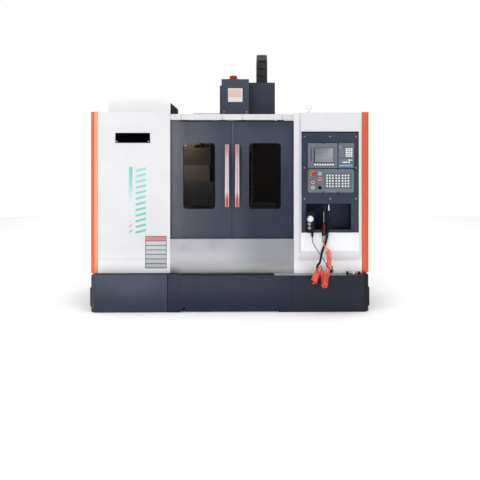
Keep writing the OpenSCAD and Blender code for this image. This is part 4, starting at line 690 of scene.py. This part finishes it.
card = start_solid("blank_card", (-729, -545), (front - 1.0, front), (353, 631))
round_corners(card, 3)
soften(card, 0.3)
card_rows = [
    (block((-0.723, -0.551), (-0.902, -0.9005), (0.360 + i * 0.0388, 0.360 + i * 0.0388 + 0.030)),
     rgb(212, 122, 120) if i == 6 else rgb(196, 198, 200), 0.45, 0)
    for i in range(7)
]
card_print = enamel("card_print", rgb(118, 122, 128), rgb(110, 114, 120), 0.45, 0.0, patches=card_rows)
finished(card, "frame", card_print, "front_panel_left")


# ---------------------------------------------------------------- apron and chip tray
# The apron under the doors, the sill and the pans are brushed stainless sheet. Coolant has left
# a dull stain and faint runs along the apron's lower edge.
def distance(x, z, centre_x, centre_z):
    """How far a point lies from a centre, seen from the front."""
    return ((x - centre_x) * (x - centre_x) + (z - centre_z) * (z - centre_z)).math("POWER", 0.5)


finish, shader, place, (x, y, z) = new_finish("brushed_stainless")
lines = place.noise(0.0025, 4.0, 0.6, (40, 1, 1))
cloud = place.noise(0.35, 3.0, 0.55).step(0.3, 0.75)
tone = cloud.mix(rgb(158, 158, 164), rgb(180, 180, 186))
# Painted light and shade: the sheet is lighter in a band across its middle height and darker towards the
# right.
tone = z.within(0.40, 0.50, 0.05).mix(tone, rgb(182, 182, 187))
tone = x.step(-0.1, 0.3, 0.0, 0.9).mix(tone, rgb(140, 142, 148))
runs = z.step(0.42, 0.33, 0.0, 1.0) * place.noise(0.12, 4.0, 0.6, (3, 1, 1)).step(0.35, 0.7)
tone = (runs * 0.5).mix(tone, rgb(204, 208, 202))
spot = distance(x, z, -0.497, 0.403).step(0.009, 0.017, 0.5, 0.0)
tone = spot.mix(tone, rgb(224, 178, 138))
edge_line = (z - x * 0.04).within(0.3345, 0.3385, 0.001) * x.step(-0.30, 0.30)
tone = (edge_line * 0.6).mix(tone, rgb(204, 176, 140))
dress(feed_finish(
    finish, shader, base_color=tone, metallic=0.85, roughness=lines * 0.16 + runs * 0.1 + 0.34,
    bump=(lines, 0.00004),
), "chip_tray")


# ---------------------------------------------------------------- doors
# Two folded sheet doors hang on rollers and slide apart. Each has a smoked polycarbonate pane
# in a rubber seal, and a pull handle of aluminium with a red plastic inlay.
gap_shadow = rgb(10, 11, 14)
handle_mid, handle_shade = 1.146, (0.23, 0.28)
# Each door has the painted shadow along its edge, its top and its rim, where the gaps lie, and the
# painted shadow strip beside its handle;
# then how strongly its foot, its side by the handle and the side by the other door are darkened as
# painted shade.
# The left door's colours are lighter than the right door's, and its outer side lighter still, as painted
# light on the same paint.
for side, light, dark, edge, rim, handle_shadow_x, foot, near, meeting in (
    ("left", rgb(83, 86, 97), rgb(72, 76, 88), (-0.545, -0.5075), (0.0085, 0.016), -0.004,
     0.25, 0.75, 0.0),
    ("right", rgb(63, 70, 86), rgb(54, 61, 76), (0.5395, 0.58), (0.0165, 0.0185), 0.090,
     0.85, 0.0, 0.8),
):
    dress(enamel(
        "door_enamel_" + side, light, dark, 0.42, 0.00013, patches=[
            # Painted shadow in the gaps along the door's outer edge, its top and its rim.
            (block(edge, (-0.87, -0.86)), gap_shadow, 0.7, 0),
            (block(None, (-0.87, -0.86), (1.6125, 1.63)), gap_shadow, 0.7, 0),
            (block(rim, (-0.87, -0.86)), gap_shadow, 0.7, 0),
            (block((0.019, 0.0235), (-0.87, -0.86)), rgb(100, 104, 114), 0.4, 0),
            # Painted shadow beside the handle.
            (lambda x, y, z: (x - handle_shadow_x).math("ABSOLUTE").step(0.004, 0.012, 0.85, 0.0)
             * (z - handle_mid).math("ABSOLUTE").step(*handle_shade, 1.0, 0.0), rgb(16, 17, 22), 0.5, 0),
            # Painted shade towards the foot, the handle's side and the other door, and painted light on
            # the left door's outer side.
            (lambda x, y, z: z.step(1.6, 0.75, 0.0, foot), rgb(26, 36, 56), 0.42, 0),
            (lambda x, y, z: x.step(-0.33, -0.04, 0.0, near), rgb(48, 56, 74), 0.42, 0),
            (lambda x, y, z: x.step(-0.36, -0.50) * z.step(0.6, 1.7, 0.35, 1.0),
             rgb(99, 98, 107), 0.42, 0),
            (lambda x, y, z: x.step(0.20, 0.05, 0.0, meeting) * z.step(1.45, 0.9),
             rgb(56, 63, 78), 0.42, 0),
        ], mottle=0.16,
    ), "door_" + side)

finish, shader, place, (x, y, z) = new_finish("smoked_pane")
smear = place.noise(0.22, 4.0, 0.6).step(0.4, 0.8)
dress(feed_finish(
    finish, shader, base_color=(smear * 0.4).mix(rgb(8, 8, 8), rgb(20, 19, 17)),
    roughness=smear * 0.06 + 0.05,
    alpha=0.40, specular_ior_level=0.08,
), "window_left", "window_right")

finish, shader, place, (x, y, z) = new_finish("handle_aluminium")
lines = place.noise(0.0016, 3.0, 0.6, (1, 1, 30))
metal_tone = place.noise(0.1).step(0.3, 0.7).mix(rgb(206, 208, 211), rgb(220, 222, 224))
# The metal is tinted pink at its lower end, as a painted reflection.
handle_metal = feed_finish(
    finish, shader, base_color=z.step(0.92, 1.02).mix(rgb(206, 146, 148), metal_tone),
    metallic=1.0, roughness=lines * 0.14 + 0.26, bump=(lines, 0.00003),
)
dress(handle_metal, "handle_left", "handle_right")


def inlay_finish(name, centre):
    """Pinkish where the handle stands out, as a painted highlight, and red where it slopes back, with a
    darker red line down its middle as painted shade.
    """
    finish, shader, place, (x, y, z) = new_finish(name)
    tone = z.step(0.94, 1.03).mix(rgb(172, 66, 70), rgb(228, 192, 195))
    tone = z.step(1.28, 1.37).mix(tone, rgb(204, 136, 136))
    shaded_middle = x.within(centre / 1000 - 0.0035, centre / 1000 + 0.0035, 0.0012)
    shaded_middle = shaded_middle * (0.45 if centre < 0 else 0.85)
    tone = shaded_middle.mix(tone, rgb(156, 56, 62))
    return feed_finish(
        finish, shader, base_color=tone, roughness=place.noise(0.02, 3.0) * 0.1 + 0.25, coat_weight=0.3,
    )


screw = screw_head("pane_screw", -387, -868, 1407, 12)
finished(screw, "door_left", screw_steel, "levelling_feet")
handle_z, handle_h, handle_base, handle_out = 0.876, 0.540, -0.8683, 0.046


def grip_front(height):
    """The depth of the handle's front face at a height, as the real handle bows out at its middle."""
    run = (height - handle_z) / handle_h
    lean = min(1.0, min(run, 1 - run) / 0.28)
    return handle_base - 0.010 - (handle_out - 0.010) * lean


inlay_z, bends = (878, 1414), 28
for side, centre in (("left", -28), ("right", 60)):
    inlay = start_solid("inlay_" + side, (centre - 9.5, centre + 10), (-1, 1), inlay_z)
    bpy.ops.object.mode_set(mode="EDIT")
    for i in range(1, bends):
        height = 0.878 + i * 0.536 / bends
        bpy.ops.mesh.select_all(action="SELECT")
        bpy.ops.mesh.bisect(plane_co=(0, 0, height), plane_no=(0, 0, 1))
    bpy.ops.object.mode_set(mode="OBJECT")
    for corner in inlay.data.vertices:
        corner.co.y += grip_front(corner.co.z) - 0.0002
    soften(inlay, 0.4)
    finished(inlay, "door_" + side, inlay_finish("inlay_" + side, centre), "handle_" + side)


# ---------------------------------------------------------------- inner splash sheets
# Folded sheets line the rear wall inside, which the panes show. Behind the left pane stands a
# dark one with four pale ones before it, their tones painted light: beige and brightest above, where
# light falls in from the open top, and greyer and darker below.
linings = (
    ("lining_left", (-508, -176), (700, 1688), rgb(20, 17, 17), rgb(13, 11, 11)),
    ("lining_right", (236, 540), (700, 1688), rgb(44, 24, 18), rgb(26, 13, 10)),
    ("lining_top", (-492, -213), (1392, 1452), rgb(236, 210, 172), rgb(220, 198, 162)),
    ("lining_upper", (-492, -213), (1218, 1392), rgb(196, 172, 144), rgb(172, 152, 126)),
    ("lining_middle", (-492, -223), (1044, 1218), rgb(220, 196, 180), rgb(196, 176, 162)),
    ("lining_low", (-500, -178), (760, 1044), rgb(150, 142, 142), rgb(124, 118, 118)),
)
for name, x_span, z_span, light, dark in linings:
    out = 0 if name in ("lining_left", "lining_right") else 3
    sheet = start_solid(name, x_span, (281.4 - out, 284.6 - out), z_span)
    pick(sheet, "faces", faces_front)
    bpy.ops.mesh.inset(thickness=0.004)
    bpy.ops.transform.translate(value=(0, -0.0015, 0))
    bpy.ops.object.mode_set(mode="OBJECT")
    soften(sheet, 0.4)
    finished(sheet, "frame", enamel(name, light, dark, 0.5, 0.0001), "rear_wall")


# ---------------------------------------------------------------- saddle, table and way covers
# The table is a ground casting with T-slots; the way covers are pleated coated cloth that folds
# up as the saddle and the head move.
dress(ground_steel("table_steel", rgb(112, 112, 114), rgb(96, 96, 98), 0.30, (20, 1, 1), 0.004), "table")
finish, shader, place, (x, y, z) = new_finish("bellows_cloth")
weave = place.noise(0.0012, 2.0)
fold_dust = place.noise(0.03, 5.0, 0.7).step(0.45, 0.8)
dress(feed_finish(
    finish, shader, base_color=fold_dust.mix(rgb(30, 31, 33), rgb(62, 60, 56)),
    roughness=fold_dust * 0.2 + 0.6, bump=(weave, 0.0002),
), "way_cover_y", "way_cover_z")


# ---------------------------------------------------------------- head, its covers and the cable chain
# The spindle motor stands on the head under a two-step sheet hood, with a wiring box beside it.
# The chain's links are black nylon with snap-on lids.
plate_area = block((-0.022, 0.116), (-0.29, -0.2755), (1.836, 1.967))
dress(enamel(
    "hood_enamel", rgb(70, 75, 89), rgb(62, 67, 81), 0.42, 0.00013, patches=[
        (plate_area, rgb(244, 242, 240), 0.3, 0),
        (block((-0.014, 0.108), (-0.29, -0.2755), (1.880, 1.958)), rgb(238, 204, 190), 0.3, 0),
        (block(None, (-0.29, -0.2755), (1.7335, 1.7485)), rgb(190, 192, 196), 0.3, 1),
    ],
), "head_cover")
dress(enamel("box_enamel", rgb(55, 60, 74), rgb(45, 50, 63), 0.42, 0.00013), "head_side_box")
dress(enamel("fan_housing", rgb(46, 47, 50), rgb(40, 41, 44), 0.4, 0.0001), "spindle_motor")
finish, shader, place, (x, y, z) = new_finish("chain_nylon")
scuff = place.noise(0.015, 5.0, 0.7).step(0.5, 0.8)
dress(feed_finish(
    finish, shader, base_color=scuff.mix(rgb(37, 36, 40), rgb(56, 54, 58)),
    roughness=scuff * 0.15 + 0.5, specular_ior_level=0.25, bump=(place.noise(0.0025, 2.0), 0.0001),
), "cable_chain")


# ---------------------------------------------------------------- tool magazine
# A sheet hood covers the turning disc of tool pots. Its side towards the spindle is a black
# curtain of ribs, which the tool arm reaches past.
dress(enamel(
    "magazine_enamel", rgb(236, 236, 238), rgb(231, 231, 233), patches=[
        # The hood is painted brighter towards its foot, as painted light.
        (lambda x, y, z: z.step(1.77, 1.70, 0.0, 1.0), rgb(255, 252, 253), 0.42, 0),
        (block((-0.5285, -0.51), None, (1.40, 1.7845)), rgb(34, 36, 36), 0.6, 0),
    ],
), "magazine_cover")
dress(ground_steel("disc_aluminium", rgb(196, 198, 200), rgb(176, 178, 182), 0.34, (1, 1, 1)),
      "magazine_disc")
dress(ground_steel("arm_steel", rgb(96, 96, 100), rgb(80, 80, 84), 0.36, (1, 1, 1), 0.006, 0.1),
      "tool_arm")


# ---------------------------------------------------------------- control box and its plate
# The operator's station is a white folded box with a dark front plate. The plate carries the
# display, the operator panel and a folded pocket for hand tools.
def disc(centre_x, centre_z, radius, y_span=None):
    """A round area seen from the front, between two depths if they are given."""
    def area(x, y, z):
        inside = distance(x, z, centre_x, centre_z).step(radius - 0.0004, radius + 0.0004, 1.0, 0.0)
        return inside * y.within(*y_span) if y_span else inside
    return area


dress(enamel("control_white", rgb(220, 220, 223), rgb(215, 216, 219), patches=[
    # The box is painted brighter towards its foot, as painted light.
    (lambda x, y, z: z.step(0.90, 0.60, 0.0, 0.7), rgb(246, 246, 249), 0.42, 0),
    # A grey strip down the box's right margin is painted shade.
    (block((1.0745, 1.10), (-1.07, -1.0565)), rgb(216, 220, 226), 0.45, 0),
]), "control_box")
plate_screws = [
    (disc(x, z, 0.0064, (-1.072, -1.0635)), rgb(146, 150, 158), 0.35, 1)
    for x in (0.618, 0.8335, 1.049) for z in (0.960, 1.218, 1.477) if (x, z) != (0.8335, 1.218)
]
pocket_and_overhang_shade = [
    # The pocket's back is painted dark on the left, as shadow, and slate on the right.
    (block((0.632, 0.795), (-1.055, -0.93), (0.68, 0.94)), rgb(8, 11, 32), 0.6, 0),
    (block((0.795, 1.01), (-1.055, -0.93), (0.68, 0.94)), rgb(36, 43, 62), 0.5, 0),
    # Painted shadow along the plate's top, under the box's overhang.
    (block((0.59, 1.08), (-1.065, -1.055), (1.511, 1.53)), rgb(10, 11, 15), 0.6, 0),
    # The pocket's foot is darker, as painted shade.
    (block((0.632, 1.01), (-1.056, -0.93), (0.66, 0.706)), rgb(18, 22, 36), 0.5, 0),
]
dress(enamel(
    "station_enamel", rgb(54, 61, 76), rgb(46, 53, 66), 0.42, 0.00013, patches=pocket_and_overhang_shade + plate_screws,
    shine_level=0.2,
), "control_plate")


# ---------------------------------------------------------------- display and operator panel
# Both are moulded fronts of grey plastic: the display has a recessed screen, a card slot and
# membrane keys, and the panel has a raised field of square lamp keys beside its push buttons.
def moulded(name, light, dark, rough, patches=()):
    return enamel(name, light, dark, rough, 0.00004, patches=patches)


face = -1.075
key_top = (face - 0.0035, face - 0.0006)
key_white, key_slate = rgb(230, 232, 232), rgb(122, 134, 146)
display_patches = [
    (block((0.8935, 0.9005), (face - 0.001, face + 0.0035)), rgb(40, 42, 46), 0.6, 0),
    (block((0.668, 0.678), (face + 0.001, face + 0.02), (1.27, 1.385)), rgb(24, 24, 27), 0.7, 0),
    (block((0.903, 1.0225), (face - 0.0006, face + 0.001), (1.222, 1.40)), rgb(92, 104, 118), 0.45, 0),
    (block((0.69, 0.87), key_top, (1.235, 1.255)), key_white, 0.35, 0),
    (block((0.905, 1.02), key_top, (1.25, 1.385)), key_slate, 0.4, 0),
    (block((0.9575, 1.02), key_top, (1.305, 1.385)), key_white, 0.35, 0),
    (block((0.935, 0.999), key_top, (1.25, 1.2755)), key_white, 0.35, 0),
    (block((0.978, 0.999), key_top, (1.2755, 1.292)), key_white, 0.35, 0),
    (block((0.999, 1.02), key_top, (1.2755, 1.292)), rgb(222, 216, 104), 0.35, 0),
    (block((0.999, 1.02), key_top, (1.25, 1.2755)), rgb(58, 120, 72), 0.35, 0),
    (block((0.905, 1.02), key_top, (1.226, 1.2475)), rgb(120, 166, 192), 0.35, 0),
    (block((0.909, 0.929), (face - 0.0006, face + 0.001), (1.387, 1.394)), rgb(120, 188, 220), 0.4, 0),
    # The recess round the screen is painted dark, as shade.
    (block((0.6955, 0.8645), (face + 0.0015, face + 0.006), (1.2595, 1.3865)), rgb(34, 36, 38), 0.3, 0),
]
dress(moulded("display_plastic", rgb(108, 113, 125), rgb(100, 105, 117), 0.45, display_patches),
      "display_unit")

screen = start_solid("screen_glass", (704, 860), (-1071.6, -1070.6), (1264, 1384))
round_corners(screen, 2)
soften(screen, 0.2)
finish, shader, place, (x, y, z) = new_finish("screen_grey")
glow = place.noise(0.05, 2.0) * 0.5 + x.step(0.70, 0.86, 0.0, 0.5)
glow = glow.mix(rgb(92, 97, 104), rgb(136, 140, 147))
rows = (z * 90.0).math("FRACT").within(0.2, 0.5, 0.02) * x.within(0.712, 0.80) * 0.10
glow = (rows * z.within(1.29, 1.37)).mix(glow, rgb(190, 198, 200))
screen_grey = feed_finish(
    finish, shader, base_color=glow, roughness=0.18, emission_strength=0.12, emission_color=glow,
)
finished(screen, "frame", screen_grey, "display_unit")

clip_black = enamel("clip_black", rgb(14, 14, 17), rgb(9, 9, 11), 0.5, 0.0, shine_level=0.1)
for i, (x, z) in enumerate((
    (775, 1419), (898, 1419), (775, 1210), (898, 1210), (1025, 1210), (775, 1014), (898, 1014),
)):
    clip = start_solid(f"panel_clip_{i + 1}", (x - 4.5, x + 4.5), (-1078.5, -1062.9), (z - 5, z + 5))
    round_corners(clip, 3, segments=3)
    soften(clip, 0.6)
    finished(clip, "frame", clip_black, "operator_panel")
for side, x in (("left", 707), ("right", 727)):
    screw = screw_head("pocket_screw_" + side, x, -943, 843, 8)
    finished(screw, "frame", screw_steel, "levelling_feet")

op = -1.071
ring_depth = (op - 0.0035, op - 0.0002)
rings = [
    (disc(0.687, 1.170, 0.0235, ring_depth), rgb(196, 164, 84), 0.4, 0),
    (disc(0.745, 1.170, 0.0175, ring_depth), rgb(190, 196, 198), 0.3, 1),
    (disc(0.745, 1.126, 0.0175, ring_depth), rgb(206, 168, 164), 0.3, 1),
    (disc(0.687, 1.098, 0.0175, ring_depth), rgb(206, 168, 164), 0.3, 1),
    (disc(0.687, 1.054, 0.0175, ring_depth), rgb(190, 196, 198), 0.3, 1),
    (disc(0.745, 1.052, 0.0175, ring_depth), rgb(150, 154, 158), 0.3, 1),
    (block((0.779, 1.015), (op - 0.0026, op - 0.0004), (1.042, 1.176)), rgb(96, 102, 112), 0.5, 0),
    (block((0.785, 1.010), (op - 0.0060, op - 0.0026), (1.050, 1.170)), rgb(222, 225, 227), 0.35, 0),
]
dress(moulded("panel_plastic", rgb(113, 119, 131), rgb(105, 111, 123), 0.45, rings), "operator_panel")


def lamp(name, node, centre, ring, lens, pip):
    """A push button: a pale rim round a coloured lens with a small mark in its middle."""
    dress(moulded(name, ring, ring, 0.28, [
        (disc(*centre, 0.0095), lens, 0.25, 0),
        (disc(*centre, 0.0032), pip, 0.28, 0),
    ]), node)


dress(moulded("mushroom_red", rgb(176, 66, 46), rgb(164, 56, 40), 0.3,
              [(disc(0.687, 1.170, 0.0125), rgb(176, 46, 34), 0.3, 0)]), "estop_button")
pale_green, pale_red = rgb(190, 214, 208), rgb(214, 170, 168)
green, red = rgb(66, 150, 126), rgb(196, 60, 62)
lamp("start_lamp", "start_button", (0.745, 1.170), pale_green, green, pale_green)
lamp("stop_lamp", "stop_button", (0.745, 1.126), pale_red, red, rgb(160, 24, 30))
lamp("hold_lamp", "feed_hold_button", (0.687, 1.098), pale_red, red, rgb(160, 24, 30))
lamp("cycle_lamp", "cycle_start_button", (0.687, 1.054), pale_green, green, pale_green)
dress(enamel("switch_black", rgb(16, 16, 18), rgb(10, 10, 12), 0.35, 0.00004, shine_level=0.15),
      "key_switch")


# ---------------------------------------------------------------- pendant and guns
# The hand pendant, the air gun and the coolant gun hang by hooks in the pocket's mouth. The
# pendant's dial is printed with a hundred fine marks and ten longer ones.
dress(enamel("pendant_black", rgb(18, 18, 21), rgb(11, 11, 14), 0.5, 0.00004, shine_level=0.15),
      "pendant_body")
finish, shader, place, (x, y, z) = new_finish("dial_white")
dial_x, dial_z = 0.661, 0.797
away = distance(x, z, dial_x, dial_z)
angle = (z - dial_z).math("ARCTAN2", x - dial_x)
ticks = (angle * (50 / math.pi)).math("FRACT").within(0.34, 0.66, 0.06) * away.within(0.0225, 0.0270)
longer = (angle * (5 / math.pi)).math("FRACT").within(0.465, 0.535, 0.012) * away.within(0.0195, 0.0270)
tone = ticks.math("MAXIMUM", longer).mix(rgb(226, 228, 228), rgb(40, 42, 46))
tone = away.within(0.0165, 0.0175).mix(tone, rgb(150, 152, 156))
tone = away.step(0.0262, 0.0266).mix(tone, rgb(60, 60, 64))
knob = y.step(-1.1160, -1.1155, 1.0, 0.0).mix(tone, rgb(70, 72, 76))
dress(feed_finish(finish, shader, base_color=knob, roughness=0.32), "pendant_dial")
dress(moulded("knob_grey", rgb(150, 154, 160), rgb(138, 142, 148), 0.35),
      "pendant_axis_knob", "pendant_step_knob")
dress(enamel(
    "gun_enamel", rgb(84, 26, 30), rgb(66, 18, 24), 0.34, 0.00004, patches=[
        (lambda x, y, z: (x - 0.777).math("ABSOLUTE").step(0.006, 0.010), rgb(20, 10, 14), 0.4, 0),
        (block(None, None, (0.7692, 0.86)), rgb(120, 122, 126), 0.3, 1),
        (block(None, None, (0.612, 0.6548)), rgb(140, 142, 144), 0.3, 1),
        (block(None, None, (0.59, 0.612)), rgb(190, 60, 48), 0.35, 0),
        (block(None, (-1.0775, -1.04)), rgb(168, 170, 172), 0.3, 1),
    ], shine_level=0.15,
), "air_gun")
dress(moulded("trigger_red", rgb(96, 30, 36), rgb(76, 22, 28), 0.35), "air_gun_trigger")
dress(enamel("gun_black", rgb(16, 16, 19), rgb(10, 10, 13), 0.45, 0.00004, shine_level=0.15, patches=[
    (block((0.8085, 0.835), (-1.092, -1.068), (0.8618, 0.90)), rgb(190, 192, 194), 0.3, 1),
    (block((0.8085, 0.835), (-1.092, -1.068), (0.888, 0.915)), rgb(216, 218, 220), 0.3, 1),
]), "coolant_gun")


# ---------------------------------------------------------------- electrical cabinet, behind
# Drives and breakers stand on the cabinet's mounting plate, behind its hinged door.
dress(moulded("drive_grey", rgb(92, 94, 98), rgb(80, 82, 86), 0.5), "drive_rack")
